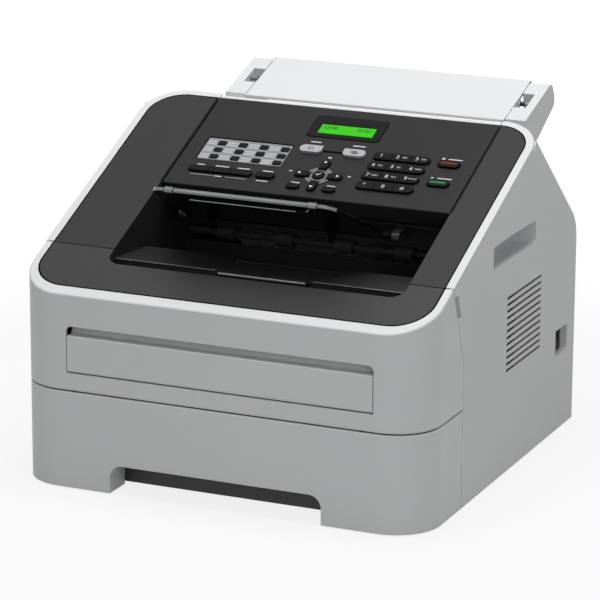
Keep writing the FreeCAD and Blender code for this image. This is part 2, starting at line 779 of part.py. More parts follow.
def make_length_guide():
    floor = tray_inside_floor() + GUIDE_LIFT
    back = TRAY_BACK - WALL - CLEAR
    profile = [
        (back, floor),
        (back, floor + LENGTH_GUIDE_HEIGHT, LENGTH_GUIDE_THICK / 2 - 1e-3),
        (back - LENGTH_GUIDE_THICK, floor + LENGTH_GUIDE_HEIGHT, LENGTH_GUIDE_THICK / 2 - 1e-3),
        (back - LENGTH_GUIDE_THICK, floor + LENGTH_GUIDE_THICK, LENGTH_GUIDE_THICK),
        (back - LENGTH_GUIDE_FOOT, floor + LENGTH_GUIDE_THICK),
        (back - LENGTH_GUIDE_FOOT, floor),
    ]
    return prism(profile, "x", -LENGTH_GUIDE_HALF, LENGTH_GUIDE_HALF)


# Side covers

def side_profile():
    seam = SIDE_SEAM_Y + SEAM / 2
    top = SIDE_SEAM_TOP_Y + SEAM / 2
    return [
        (seam, GROUND_GAP),
        (BACK, GROUND_GAP),
        (BACK, BACK_SLOPE_FOOT, BACK_ROUND),
        (PEAK_Y, slope_height(PEAK_Y)),
        (top, slope_height(top)),
        (seam, SIDE_SEAM_BEND),
    ]


def pocket_shell(front, back, low, high, corner, depth, wall):
    """Open box let into the right wall, and the hole that it lines."""
    outer = prism(rectangle(front - wall, back + wall, low - wall, high + wall, corner + wall), "x",
                  HALF - depth - wall, HALF - WALL / 2)
    hole = prism(rectangle(front, back, low, high, corner), "x", HALF - depth, HALF + WALL)
    return outer, hole


def finger_notch(grow, reach):
    """Slanted finger hold at the front seam, where the front cover is gripped."""
    top = SIDE_SEAM_TOP_Y + SEAM / 2
    start = slope_height(top) - NOTCH_BELOW_TOP
    lean = (SIDE_SEAM_Y - SIDE_SEAM_TOP_Y) / (slope_height(SIDE_SEAM_TOP_Y) - SIDE_SEAM_BEND)
    edge = top + NOTCH_BELOW_TOP * lean
    end = edge + NOTCH_LONG * lean
    return [
        (edge - reach, start + grow),
        (edge + NOTCH_WIDE + grow, start + grow),
        (end + NOTCH_WIDE + grow, start - NOTCH_LONG - grow),
        (end - reach, start - NOTCH_LONG - grow),
    ]


def make_side_cover(side):
    plate = prism(side_profile(), "x", HALF - WALL, HALF)
    start = SIDE_SEAM_SLOPE + SEAM / 2
    rim = drop_prism(top_outline(0, 0, start), RIM_THICK)
    rim = rim.cut(lay(prism(top_outline(RIM, RIM_BACK, start - WALL), "z", -REACH / 8, WALL)))
    rim = rim.cut(prism(cover_zone(0, WALL, SEAM), "x", 0, HALF))
    footprint = drop_prism(top_outline(0, 0, start), REACH / 4)
    wall = drop_prism(top_outline(0, 0, start), REAR_WALL_DROP)
    wall = wall.cut(drop_prism(top_outline(WALL, WALL, start - WALL), REACH / 4))
    above_back = [
        (PEAK_Y, back_height(PEAK_Y)),
        (BACK, back_height(BACK)),
        (BACK, REACH),
        (PEAK_Y, REACH),
    ]
    above = prism(above_back, "x", -HALF, HALF)
    rear_wall = wall.common(above)
    corner_start = slope_point(TOP_LENGTH - TOP_CORNER)[0]
    corner_zone = box(0, HALF, corner_start, BACK, slope_height(corner_start) - TOP_CORNER, REACH)
    beyond_rim = [
        (corner_start, slope_height(corner_start, -RIM_THICK)),
        (PEAK_Y - RIM_THICK, slope_height(PEAK_Y - RIM_THICK, -RIM_THICK)),
        (PEAK_Y, back_height(PEAK_Y)),
        (PEAK_Y, REACH),
        (corner_start, REACH),
    ]
    outside = corner_zone.cut(footprint).common(prism(beyond_rim, "x", 0, HALF))
    block = prism(side_profile(), "x", HALF - CORNER_BLOCK_WIDTH, HALF - WALL / 2)
    block = block.common(box(0, HALF, CORNER_BLOCK_FRONT, CORNER_BLOCK_BACK,
            slope_height(CORNER_BLOCK_FRONT) - TOP_CORNER / 2, REACH))
    block = block.cut(lay(box(-HALF, HALF, 0, TOP_LENGTH, -STRIP_THICK - CLEAR, WALL)))
    if side < 0:
        rear_end = -PANEL_LEFT + SEAM
    else:
        rear_end = PANEL_RIGHT + SEAM
    half_space = box(rear_end, HALF, FRONT, BACK, 0, REACH)
    plate = plate.cut(outside)
    pieces = [plate, block, rim.common(half_space), rear_wall.common(half_space)]
    boss = lay(box(rear_end, rear_end + BEAD_PIN_LENGTH / 2, BEAD_AXIS - BEAD_RADIUS / 2,
                   BEAD_AXIS + BEAD_RADIUS / 2, -2 * BEAD_RADIUS, -RIM_THICK / 2))
    pieces.append(boss)
    grip, grip_hole = pocket_shell(GRIP_FRONT, GRIP_BACK, GRIP_LOW, GRIP_HIGH, GRIP_CORNER, GRIP_DEPTH,
            GRIP_WALL)
    pieces.append(grip)
    pieces.append(prism(finger_notch(GRIP_WALL, -SEAM), "x", HALF - NOTCH_DEPTH - GRIP_WALL, HALF - WALL / 2))
    cuts = [grip_hole, prism(finger_notch(0, WALL), "x", HALF - NOTCH_DEPTH, HALF + WALL)]
    cuts.append(lay_rod(rear_end - WALL, rear_end + BEAD_PIN_LENGTH / 2 + WALL, BEAD_AXIS, -BEAD_RADIUS,
                        BEAD_PIN + FIT))
    if side > 0:
        seat, seat_hole = pocket_shell(SWITCH_FRONT, SWITCH_BACK, SWITCH_LOW, SWITCH_HIGH, SWITCH_CORNER,
                                       SWITCH_DEPTH, GRIP_WALL)
        pieces.append(seat)
        cuts.append(seat_hole)
        cuts.append(box(HALF - SWITCH_DEPTH - 2 * GRIP_WALL, HALF - SWITCH_DEPTH + GRIP_WALL,
                        SWITCH_FRONT + ROCKER_MARGIN, SWITCH_BACK - ROCKER_MARGIN,
                        SWITCH_LOW + ROCKER_MARGIN / 2, SWITCH_HIGH - ROCKER_MARGIN / 2))
        cuts.append(Part.makeCylinder(ROCKER_PIN + FIT, SWITCH_BACK - SWITCH_FRONT,
                                      Vector(HALF - SWITCH_DEPTH - GRIP_WALL / 2, SWITCH_FRONT,
                                             (SWITCH_LOW + SWITCH_HIGH) / 2), Vector(0, 1, 0)))
        for index in range(LOUVRE_COUNT):
            low = LOUVRE_LOW + index * LOUVRE_PITCH
            slot = [
                (HALF - 2 * WALL, low + LOUVRE_SLOT),
                (HALF + WALL, low - LOUVRE_SLOT),
                (HALF + WALL, low),
                (HALF - 2 * WALL, low + 2 * LOUVRE_SLOT),
            ]
            cuts.append(prism(slot, "y", LOUVRE_FRONT, LOUVRE_BACK))
    cover = join(pieces)
    for cut in cuts:
        cover = cover.cut(cut)
    if side < 0:
        cover = cover.mirror(Vector(0, 0, 0), Vector(1, 0, 0))
    return cover


def rocker_axis():
    return (HALF - SWITCH_DEPTH - GRIP_WALL / 2, (SWITCH_LOW + SWITCH_HIGH) / 2)


def make_power_switch():
    axis_x, axis_z = rocker_axis()
    tall = (SWITCH_HIGH - SWITCH_LOW - ROCKER_MARGIN) / 2 - CLEAR
    lean = tall * math.tan(math.radians(ROCKER_THROW))
    profile = [
        (axis_x - GRIP_WALL, axis_z - tall),
        (axis_x + GRIP_WALL + lean, axis_z - tall + CLEAR),
        (axis_x + GRIP_WALL, axis_z),
        (axis_x + GRIP_WALL + lean, axis_z + tall - CLEAR),
        (axis_x - GRIP_WALL, axis_z + tall),
    ]
    front = SWITCH_FRONT + ROCKER_MARGIN + CLEAR
    back = SWITCH_BACK - ROCKER_MARGIN - CLEAR
    rocker = prism(profile, "y", front, back)
    rocker.rotate(Vector(axis_x, 0, axis_z), Vector(0, 1, 0), -ROCKER_THROW)
    pin = Part.makeCylinder(ROCKER_PIN, back - front + ROCKER_MARGIN, Vector(axis_x,
            front - ROCKER_MARGIN / 2, axis_z),
                            Vector(0, 1, 0))
    return join([rocker, pin])


# Dark top cover with the output well

def floor_line(drop):
    """Side view of the well floor, from its front edge to its rear wall."""
    front = FLOOR_FRONT_Y
    return [
        (front, FLOOR_FRONT_HEIGHT - drop),
        (front + FLOOR_CREASE_BACK, FLOOR_FRONT_HEIGHT - FLOOR_CREASE_DROP - drop),
        (front + FLOOR_LOW_BACK, FLOOR_FRONT_HEIGHT - FLOOR_LOW_DROP - drop),
        (front + FLOOR_END_BACK, FLOOR_FRONT_HEIGHT - FLOOR_LOW_DROP - drop),
    ]


def stop_axis():
    return (STOP_Y,
            FLOOR_FRONT_HEIGHT - STOP_AXIS_BACK * FLOOR_CREASE_DROP / FLOOR_CREASE_BACK - STOP_THICK / 2)


def make_top_cover():
    start = SIDE_SEAM_SLOPE + SEAM / 2
    sheet = lay(prism(top_outline(RIM + TRIM_GAP, RIM_BACK + TRIM_GAP, start), "z", -STRIP_THICK, 0))
    gap = box(WELL_LEFT, WELL_RIGHT, FRONT, BACK, 0, REACH)
    strips = sheet.cut(gap)
    upper = floor_line(0)
    lower = floor_line(FLOOR_THICK)
    end = upper[-1][0]
    floor = prism(upper + lower[::-1], "x", WELL_LEFT - WALL, WELL_RIGHT + WALL)
    rear = box(WELL_LEFT - WALL, WELL_RIGHT + WALL, end - WALL, end, lower[-1][1], EXIT_SLOT_LOW)
    ceiling = slope_height(end - WALL, -GUIDE_DEPTH - GUIDE_THICK - CLEAR)
    upper_rear = box(WELL_LEFT - WALL, WELL_RIGHT + WALL, end - WALL, end, EXIT_SLOT_HIGH, ceiling)
    front_drop = box(WELL_LEFT - WALL, WELL_RIGHT + WALL, upper[0][0], upper[0][0] + WALL,
            FLOOR_FRONT_HEIGHT - FLOOR_FRONT_DROP,
                     FLOOR_FRONT_HEIGHT - FLOOR_THICK / 2)
    side_view = upper + [(end, slope_height(end, -STRIP_THICK / 2)),
                         (upper[0][0], slope_height(upper[0][0], -STRIP_THICK / 2))]
    left = prism(side_view, "x", WELL_LEFT - WALL, WELL_LEFT)
    right = prism(side_view, "x", WELL_RIGHT, WELL_RIGHT + WALL)
    cover = join([strips, floor, rear, upper_rear, front_drop, left, right])
    axis_y, axis_z = stop_axis()
    mouth = box(STOP_LEFT - CLEAR, STOP_RIGHT + CLEAR, upper[0][0] - WALL, axis_y + STOP_THICK / 2 + CLEAR,
                axis_z - STOP_THICK, REACH)
    pockets = box(STOP_LEFT - STOP_POCKET, STOP_RIGHT + STOP_POCKET, axis_y - STOP_POCKET_LENGTH / 2,
                  axis_y + STOP_POCKET_LENGTH / 2, axis_z, REACH)
    bearing = rod(STOP_LEFT - STOP_PIN_REACH, STOP_RIGHT + STOP_PIN_REACH, axis_y, axis_z, STOP_PIN + FIT)
    hanger_view = rectangle(axis_y - STOP_POCKET_LENGTH / 2 - WALL, axis_y + STOP_POCKET_LENGTH / 2 + WALL,
                            axis_z - 2 * STOP_THICK, axis_z)
    hangers = [
        prism(hanger_view, "x", STOP_LEFT - STOP_POCKET - WALL, STOP_LEFT - CLEAR),
        prism(hanger_view, "x", STOP_RIGHT + CLEAR, STOP_RIGHT + STOP_POCKET + WALL),
    ]
    cover = cover.cut(mouth).cut(pockets)
    return join([cover] + hangers).cut(bearing)


def make_paper_stop():
    axis_y, axis_z = stop_axis()
    front_y = FLOOR_FRONT_Y - STOP_OVERHANG
    tilt = FLOOR_CREASE_DROP / FLOOR_CREASE_BACK
    front_z = axis_z + (axis_y - front_y) * tilt
    half = STOP_THICK / 2
    profile = [
        (axis_y + half, axis_z - half, half * 0.9),
        (axis_y + half, axis_z + half, half * 0.9),
        (front_y, front_z + half, half / 2),
        (front_y, front_z - half, half / 2),
    ]
    leaf = prism(profile, "x", STOP_LEFT, STOP_RIGHT)
    pin = rod(STOP_LEFT - STOP_PIN_REACH, STOP_RIGHT + STOP_PIN_REACH, axis_y, axis_z, STOP_PIN)
    return join([leaf, pin])


# Control panel and keys

def pill(x, s, width, height, grow, low, high):
    """Key blank with round ends, or its hole where it is grown."""
    radius = min(width, height) / 2 + grow - 1e-3
    outline = rectangle(x - width / 2 - grow, x + width / 2 + grow, s - height / 2 - grow,
            s + height / 2 + grow, radius)
    return prism(outline, "z", low, high)


def key_low():
    return BOARD_TOP + KEY_TRAVEL + KEY_GAP


def key_body(x, s, width, height):
    blank = pill(x, s, width, height, 0, key_low(), KEY_PROUD)
    top = [edge for edge in blank.Edges if all(abs(v.Z - KEY_PROUD) < 1e-3 for v in edge.Vertexes)]
    return blank.makeChamfer(KEY_CHAMFER, top)


def key_row(left, right, s, height, count):
    """One long blank, split into equal keys by thin gaps."""
    blank = key_body((left + right) / 2, s, right - left, height)
    pitch = (right - left) / count
    for index in range(1, count):
        x = left + index * pitch
        blank = blank.cut(box(x - KEY_SPLIT / 2, x + KEY_SPLIT / 2, s - height, s + height,
                2 * BOARD_TOP, KEY_PROUD * 2))
    return blank


def single_keys():
    """Name, x, s, width and height of each key that stands alone."""
    return [
        ("stop_key", STOP_KEY_X, STOP_KEY_S, STOP_KEY_WIDTH, STOP_KEY_HEIGHT),
        ("start_key", STOP_KEY_X, START_KEY_S, STOP_KEY_WIDTH, STOP_KEY_HEIGHT),
        ("fax_mode_key", MODE_LEFT_X, MODE_S, MODE_WIDTH, MODE_HEIGHT),
        ("copy_mode_key", MODE_RIGHT_X, MODE_S, MODE_WIDTH, MODE_HEIGHT),
        ("up_key", NAV_X, NAV_S + NAV_OFFSET, NAV_WIDE, NAV_LONG),
        ("down_key", NAV_X, NAV_S - NAV_OFFSET, NAV_WIDE, NAV_LONG),
        ("left_key", NAV_X - NAV_SIDE_OFFSET, NAV_S, NAV_LONG, NAV_WIDE),
        ("right_key", NAV_X + NAV_SIDE_OFFSET, NAV_S, NAV_LONG, NAV_WIDE),
        ("ok_key", NAV_X, NAV_S, 2 * OK_RADIUS, 2 * OK_RADIUS),
    ]


def number_row_s(index):
    return NUMBER_TOP_ROW - index * NUMBER_PITCH


def one_touch_places():
    places = []
    for row in range(ONE_TOUCH_ROWS):
        for column in range(ONE_TOUCH_COLUMNS):
            places.append((ONE_TOUCH_X + column * ONE_TOUCH_PITCH_X, ONE_TOUCH_S + row * ONE_TOUCH_PITCH_S))
    return places


def one_touch_outline(x, s, grow):
    wide = ONE_TOUCH_WIDTH / 2 + grow
    high = ONE_TOUCH_HEIGHT / 2 + grow
    return rectangle(x - wide, x + wide, s - high, s + high, ONE_TOUCH_CORNER + grow)


def key_holes():
    low = -2 * PANEL_SKIN
    high = PANEL_SKIN
    holes = []
    for name, x, s, width, height in single_keys():
        holes.append(pill(x, s, width, height, KEY_GAP, low, high))
    for index in range(len(NUMBER_ROWS)):
        middle = (NUMBER_LEFT + NUMBER_RIGHT) / 2
        width = NUMBER_RIGHT - NUMBER_LEFT
        holes.append(pill(middle, number_row_s(index), width, NUMBER_HEIGHT, KEY_GAP, low, high))
    middle = (FUNCTION_LEFT + FUNCTION_RIGHT) / 2
    width = FUNCTION_RIGHT - FUNCTION_LEFT
    holes.append(pill(middle, FUNCTION_S, width, FUNCTION_HEIGHT, KEY_GAP, low, high))
    holes.append(pill(OPTION_X, FUNCTION_S, OPTION_WIDTH, FUNCTION_HEIGHT, KEY_GAP, low, high))
    for x in (SMALL_KEY_LEFT_X, SMALL_KEY_RIGHT_X):
        holes.append(pill(x, SMALL_KEY_S, SMALL_KEY_WIDTH, SMALL_KEY_HEIGHT, KEY_GAP, low, high))
    for x, s in one_touch_places():
        holes.append(prism(one_touch_outline(x, s, KEY_GAP), "z", low, high))
    return holes


def make_control_panel():
    outer = prism(rectangle(PANEL_LEFT, PANEL_RIGHT, PANEL_FRONT, PANEL_BACK), "z", -PANEL_FACE, 0)
    front_top = lambda e: all(abs(v.Y - PANEL_FRONT) < 1e-3 and abs(v.Z) < 1e-3 for v in e.Vertexes)
    outer = round_edges(outer, EDGE_ROUND / 2, front_top)
    inner = box(PANEL_LEFT + WALL, PANEL_RIGHT - WALL, PANEL_FRONT + WALL, PANEL_BACK - WALL, -REACH / 8,
            -PANEL_SKIN)
    shell = outer.cut(inner)
    shell = shell.cut(box(PANEL_LEFT - WALL, PANEL_RIGHT + WALL, PANEL_FRONT + 2 * WALL,
            PANEL_BACK + WALL, -REACH / 8,
                          -PANEL_SKIRT))
    window = rectangle(WINDOW_LEFT - KEY_GAP, WINDOW_RIGHT + KEY_GAP, WINDOW_LOW - KEY_GAP,
            WINDOW_HIGH + KEY_GAP,
                       WINDOW_CORNER)
    ledge = rectangle(WINDOW_LEFT + WINDOW_LEDGE, WINDOW_RIGHT - WINDOW_LEDGE, WINDOW_LOW + WINDOW_LEDGE,
                      WINDOW_HIGH - WINDOW_LEDGE, WINDOW_LEDGE)
    shell = shell.cut(prism(window, "z", WINDOW_PROUD - WINDOW_THICK, PANEL_SKIN))
    shell = shell.cut(prism(ledge, "z", -2 * PANEL_SKIN, PANEL_SKIN))
    posts = []
    left, right, low, high = board_edges()
    for x in (left + BOARD_MARGIN / 2, right - BOARD_MARGIN / 2):
        for s in (low + BOARD_MARGIN / 2, high - BOARD_MARGIN / 2):
            posts.append(Part.makeCylinder(BOARD_MARGIN / 3, -PANEL_SKIN / 2 - BOARD_TOP, Vector(x, s,
                    BOARD_TOP)))
    shell = join([shell] + posts)
    for hole in key_holes():
        shell = shell.cut(hole)
    return lay(shell)


def board_edges():
    left = FUNCTION_LEFT - BOARD_MARGIN
    right = STOP_KEY_X + STOP_KEY_WIDTH / 2 + BOARD_MARGIN
    low = NAV_S - NAV_OFFSET - NAV_LONG / 2 - BOARD_MARGIN / 2
    high = NUMBER_TOP_ROW + NUMBER_HEIGHT / 2 + BOARD_MARGIN
    return left, right, low, high


def make_key_board():
    left, right, low, high = board_edges()
    return lay(prism(rectangle(left, right, low, high, BOARD_MARGIN / 2), "z", BOARD_TOP - BOARD_THICK,
            BOARD_TOP))


def make_panel_edge():
    left = PANEL_LEFT
    right = PANEL_RIGHT
    flat = box(left, right, PANEL_BACK, BEAD_AXIS, -2 * BEAD_RADIUS, 0)
    bead = rod(left, right, BEAD_AXIS, -BEAD_RADIUS, BEAD_RADIUS)
    strip = join([flat, bead]).common(box(left, right, PANEL_BACK, REACH, -REACH, REACH))
    depth = BEAD_PIN_LENGTH / 2 + CLEAR
    for start, end in ((left, left + depth), (right - depth, right)):
        strip = strip.cut(rod(start, end, BEAD_AXIS, -BEAD_RADIUS, BEAD_PIN + FIT))
    return lay(strip)


def make_display_window():
    frame = prism(rectangle(WINDOW_LEFT, WINDOW_RIGHT, WINDOW_LOW, WINDOW_HIGH, WINDOW_CORNER), "z",
                  WINDOW_PROUD - WINDOW_THICK, WINDOW_PROUD)
    view = rectangle(DISPLAY_LEFT, DISPLAY_RIGHT, DISPLAY_LOW, DISPLAY_HIGH)
    return lay(frame.cut(prism(view, "z", WINDOW_PROUD - WINDOW_THICK / 2, PANEL_SKIN)))


def make_display():
    top = WINDOW_PROUD - WINDOW_THICK
    left = DISPLAY_LEFT - WINDOW_LEDGE
    right = DISPLAY_RIGHT + WINDOW_LEDGE
    return lay(prism(rectangle(left, right, DISPLAY_LOW - WINDOW_LEDGE / 2,
            DISPLAY_HIGH + WINDOW_LEDGE / 2), "z",
                     top - DISPLAY_THICK, top))


def make_keys():
    keys = {}
    for name, x, s, width, height in single_keys():
        keys[name] = lay(key_body(x, s, width, height))
    for index, name in enumerate(NUMBER_ROWS):
        keys[name] = lay(key_row(NUMBER_LEFT, NUMBER_RIGHT, number_row_s(index), NUMBER_HEIGHT,
                NUMBER_KEYS))
    functions = key_row(FUNCTION_LEFT, FUNCTION_RIGHT, FUNCTION_S, FUNCTION_HEIGHT, FUNCTION_KEYS)
    option = key_body(OPTION_X, FUNCTION_S, OPTION_WIDTH, FUNCTION_HEIGHT)
    keys["function_keys"] = lay(Part.makeCompound(functions.Solids + option.Solids))
    pair = []
    for x in (SMALL_KEY_LEFT_X, SMALL_KEY_RIGHT_X):
        pair.append(key_body(x, SMALL_KEY_S, SMALL_KEY_WIDTH, SMALL_KEY_HEIGHT))
    keys["clear_and_menu_keys"] = lay(Part.makeCompound(pair))
    small = []
    for x, s in one_touch_places():
        small.append(prism(one_touch_outline(x, s, 0), "z", key_low(), KEY_PROUD / 2))
    keys["one_touch_keys"] = lay(Part.makeCompound(small))
    return keys


# Document guide, scan bar and document roller below the panel

def make_document_guide():
    low = -GUIDE_DEPTH - GUIDE_THICK
    plate = box(PANEL_LEFT, PANEL_RIGHT, GUIDE_FRONT, GUIDE_BACK, low, -GUIDE_DEPTH)
    pieces = [plate]
    for near, far in ((WELL_LEFT - WALL - GUIDE_LEG, PANEL_LEFT), (PANEL_RIGHT,
            WELL_RIGHT + WALL + GUIDE_LEG)):
        pieces.append(box(near, far, EJECT_GUIDE_START, GUIDE_BACK, low, -GUIDE_DEPTH))
    outer_left = WELL_LEFT - WALL - GUIDE_LEG
    outer_right = WELL_RIGHT + WALL + GUIDE_LEG
    pieces.append(box(outer_left, outer_left + WALL, EJECT_GUIDE_START, GUIDE_BACK, low, -STRIP_THICK))
    pieces.append(box(outer_right - WALL, outer_right, EJECT_GUIDE_START, GUIDE_BACK, low, -STRIP_THICK))
    guide = join([lay(join(pieces))])
    cheeks = []
    for side in (-1, 1):
        inner = side * (SUPPORT_HALF_BACK + CLEAR)
        outer = side * (SUPPORT_HALF_BACK + SUPPORT_PIN_REACH + WALL)
        front = SUPPORT_AXIS_Y - SUPPORT_KNUCKLE
        plate_y, plate_z = slope_point(GUIDE_FRONT, -GUIDE_DEPTH - GUIDE_THICK / 2)
        cheek = [
            (front, SUPPORT_AXIS_Z - SUPPORT_KNUCKLE, SUPPORT_KNUCKLE - 1e-3),
            (plate_y + GUIDE_NOSE, SUPPORT_AXIS_Z - SUPPORT_KNUCKLE),
            (plate_y + GUIDE_NOSE, plate_z + GUIDE_NOSE * RISE),
            (plate_y, plate_z),
            (front, SUPPORT_AXIS_Z + SUPPORT_KNUCKLE, SUPPORT_KNUCKLE / 2),
        ]
        cheeks.append(prism(cheek, "x", inner, outer))
    guide = join([guide] + cheeks)
    guide = guide.cut(rod(-SUPPORT_HALF_BACK - SUPPORT_PIN_REACH - CLEAR,
            SUPPORT_HALF_BACK + SUPPORT_PIN_REACH + CLEAR,
                          SUPPORT_AXIS_Y, SUPPORT_AXIS_Z, SUPPORT_PIN + FIT))
    middle = (PANEL_LEFT + PANEL_RIGHT) / 2
    slot = box(middle - SCAN_HALF_LENGTH, middle + SCAN_HALF_LENGTH, SCAN_S - SCAN_WIDTH / 2,
            SCAN_S + SCAN_WIDTH / 2,
               2 * low, -STRIP_THICK)
    roller_slot = box(middle - DOC_ROLLER_HALF - CLEAR, middle + DOC_ROLLER_HALF + CLEAR,
                      DOC_ROLLER_S - DOC_ROLLER_RADIUS - CLEAR, DOC_ROLLER_S + DOC_ROLLER_RADIUS + CLEAR,
                              2 * low, 0)
    guide = guide.cut(lay(slot)).cut(lay(roller_slot))
    bearings = []
    for side in (-1, 1):
        x = middle + side * (DOC_ROLLER_HALF + CLEAR + GUIDE_THICK / 2)
        bearings.append(box(x - GUIDE_THICK / 2, x + GUIDE_THICK / 2, DOC_ROLLER_S - DOC_ROLLER_RADIUS,
                            DOC_ROLLER_S + DOC_ROLLER_RADIUS, doc_roller_normal() - 2 * DOC_SHAFT,
                                    -GUIDE_DEPTH))
    guide = join([guide] + [lay(bearing) for bearing in bearings])
    reach = DOC_ROLLER_HALF + GUIDE_THICK + 2 * CLEAR
    return guide.cut(lay_rod(middle - reach, middle + reach, DOC_ROLLER_S, doc_roller_normal(),
            DOC_SHAFT + FIT))


def doc_roller_normal():
    """Depth of the document roller's shaft, so that it stands a little proud of the guide."""
    return -GUIDE_DEPTH + SCAN_PROUD - DOC_ROLLER_RADIUS


def make_scan_bar():
    middle = (PANEL_LEFT + PANEL_RIGHT) / 2
    width = SCAN_WIDTH / 2 - FIT
    high = -GUIDE_DEPTH + SCAN_PROUD
    profile = [
        (SCAN_S - width, high - SCAN_HEIGHT),
        (SCAN_S + width, high - SCAN_HEIGHT),
        (SCAN_S + width, high - SCAN_PROUD),
        (SCAN_S + width / 2, high),
        (SCAN_S - width / 2, high),
        (SCAN_S - width, high - SCAN_PROUD),
    ]
    return lay(prism(profile, "x", middle - SCAN_HALF_LENGTH + FIT, middle + SCAN_HALF_LENGTH - FIT))


def make_document_roller():
    middle = (PANEL_LEFT + PANEL_RIGHT) / 2
    reach = DOC_ROLLER_HALF + GUIDE_THICK + CLEAR
    tyre = lay_rod(middle - DOC_ROLLER_HALF, middle + DOC_ROLLER_HALF, DOC_ROLLER_S, doc_roller_normal(),
                   DOC_ROLLER_RADIUS)
    shaft = lay_rod(middle - reach, middle + reach, DOC_ROLLER_S, doc_roller_normal(), DOC_SHAFT)
    return join([tyre, shaft])


EJECT_GUIDE_START = (FLOOR_FRONT_Y + FLOOR_END_BACK - FRONT) / ALONG + STRIP_THICK


# Document output support

def support_frame():
    turn = Rotation(Vector(1, 0, 0), 180 - SUPPORT_RISE)
    return Placement(Vector(0, SUPPORT_AXIS_Y, SUPPORT_AXIS_Z), turn)


def lay_support(shape):
    """Places a shape drawn as (x, distance from the pivot, below the plate) on the raised support."""
    laid = shape.copy()
    laid.Placement = support_frame().multiply(laid.Placement)
    return laid


def make_output_support():
    half = SUPPORT_THICK / 2
    tail = SUPPORT_KNUCKLE
    outline = [
        (-SUPPORT_HALF_BACK, 0),
        (-SUPPORT_HALF_FRONT, SUPPORT_LENGTH, SUPPORT_CORNER),
        (SUPPORT_HALF_FRONT, SUPPORT_LENGTH, SUPPORT_CORNER),
        (SUPPORT_HALF_BACK, 0),
    ]
    plate = prism(outline, "z", -half, half)
    barrel = rod(-SUPPORT_HALF_BACK, SUPPORT_HALF_BACK, 0, 0, half + CLEAR)
    reach = SUPPORT_HALF_BACK + SUPPORT_PIN_REACH
    pin = rod(-reach, reach, 0, 0, SUPPORT_PIN)
    pieces = [plate, barrel, pin]
    for side in (-1, 1):
        fin = [
            (SUPPORT_FIN_START, 0),
            (SUPPORT_FIN_START + SUPPORT_FIN_LENGTH, 0),
            (SUPPORT_FIN_START + SUPPORT_FIN_LENGTH / 3, SUPPORT_FIN_DROP),
        ]
        x = side * SUPPORT_FIN_X
        pieces.append(prism(fin, "x", x - SUPPORT_FIN_THICK / 2, x + SUPPORT_FIN_THICK / 2))
    support = join(pieces)
    mouth = prism(extension_outline(EXTENSION_GAP), "z", -SUPPORT_THICK, SUPPORT_THICK)
    axis = extension_axis()
    reach = EXTENSION_HALF + SUPPORT_PIN_REACH + CLEAR
    bore = rod(-reach, reach, axis, 0, EXTENSION_PIN + FIT)
    ears = []
    for side in (-1, 1):
        near = side * (EXTENSION_HALF + CLEAR)
        far = side * (EXTENSION_HALF + CLEAR + SUPPORT_PIN_REACH + WALL)
        ears.append(rod(near, far, axis, 0, half + WALL / 2))
    return lay_support(join([support.cut(mouth)] + ears).cut(bore))


def extension_axis():
    return SUPPORT_LENGTH - EXTENSION_BARREL


def extension_outline(grow):
    """Plan of the folded extension: narrow free end, full width at the hinge."""
    free = SUPPORT_LENGTH - EXTENSION_LENGTH - grow
    front = SUPPORT_LENGTH if grow == 0 else SUPPORT_LENGTH + WALL
    wide = EXTENSION_HALF + min(grow, CLEAR)
    narrow = EXTENSION_HALF_FREE + grow
    shoulder = SUPPORT_LENGTH - 3 * EXTENSION_BARREL - grow
    return [
        (-narrow, free, SUPPORT_CORNER / 3),
        (narrow, free, SUPPORT_CORNER / 3),
        (wide, shoulder),
        (wide, front),
        (-wide, front),
        (-wide, shoulder),
    ]


def make_output_extension():
    half = SUPPORT_THICK / 2
    axis = extension_axis()
    plate = prism(extension_outline(0), "z", -half, half)
    plate = plate.common(box(-REACH, REACH, 0, axis, -REACH, REACH))
    barrel = rod(-EXTENSION_HALF, EXTENSION_HALF, axis, 0, EXTENSION_BARREL)
    reach = EXTENSION_HALF + SUPPORT_PIN_REACH
    pin = rod(-reach, reach, axis, 0, EXTENSION_PIN)
    return lay_support(join([plate, barrel, pin]))


# Document flap and the ears that carry it

def flap_point(along, deep=0.0):
    """(y, z) of a point along the flap from its front edge and below its face."""
    y = FLAP_FRONT_Y + along * FLAP_COS + deep * FLAP_SIN
    return (y, FLAP_FRONT_Z + along * FLAP_SIN - deep * FLAP_COS)


def make_document_ear(left, right, notch_left, notch_right):
    tip = flap_point(FLAP_LENGTH)
    heel = (tip[0] + EAR_TIP_BACK, tip[1] - EAR_TIP_DROP)
    lean = math.tan(math.radians(EAR_UNDER_SLOPE))
    join_y = (heel[1] - heel[0] * lean - BACK_SLOPE_FOOT - BACK * FALL) / (-FALL - lean)
    profile = [
        (EAR_FRONT, FLAP_FRONT_Z + (EAR_FRONT - FLAP_FRONT_Y) * FLAP_SIN / FLAP_COS),
        tip + (EAR_CORNER,),
        heel + (EAR_CORNER,),
        (join_y, back_height(join_y)),
        (EAR_FRONT, back_height(EAR_FRONT)),
    ]
    ear = prism(profile, "x", left, right)
    axis_y, axis_z = flap_point(FLAP_AXIS_ALONG, FLAP_AXIS_DEEP)
    notch = [
        flap_point(EAR_NOTCH_START, -WALL),
        flap_point(EAR_NOTCH_START + EAR_NOTCH_LENGTH, -WALL),
        flap_point(EAR_NOTCH_START + EAR_NOTCH_LENGTH, EAR_NOTCH_DEPTH),
        flap_point(EAR_NOTCH_START, EAR_NOTCH_DEPTH),
    ]
    ear = ear.cut(prism(notch, "x", notch_left, notch_right))
    return ear.cut(rod(left + WALL, right - WALL, axis_y, axis_z, FLAP_PIN + FIT))


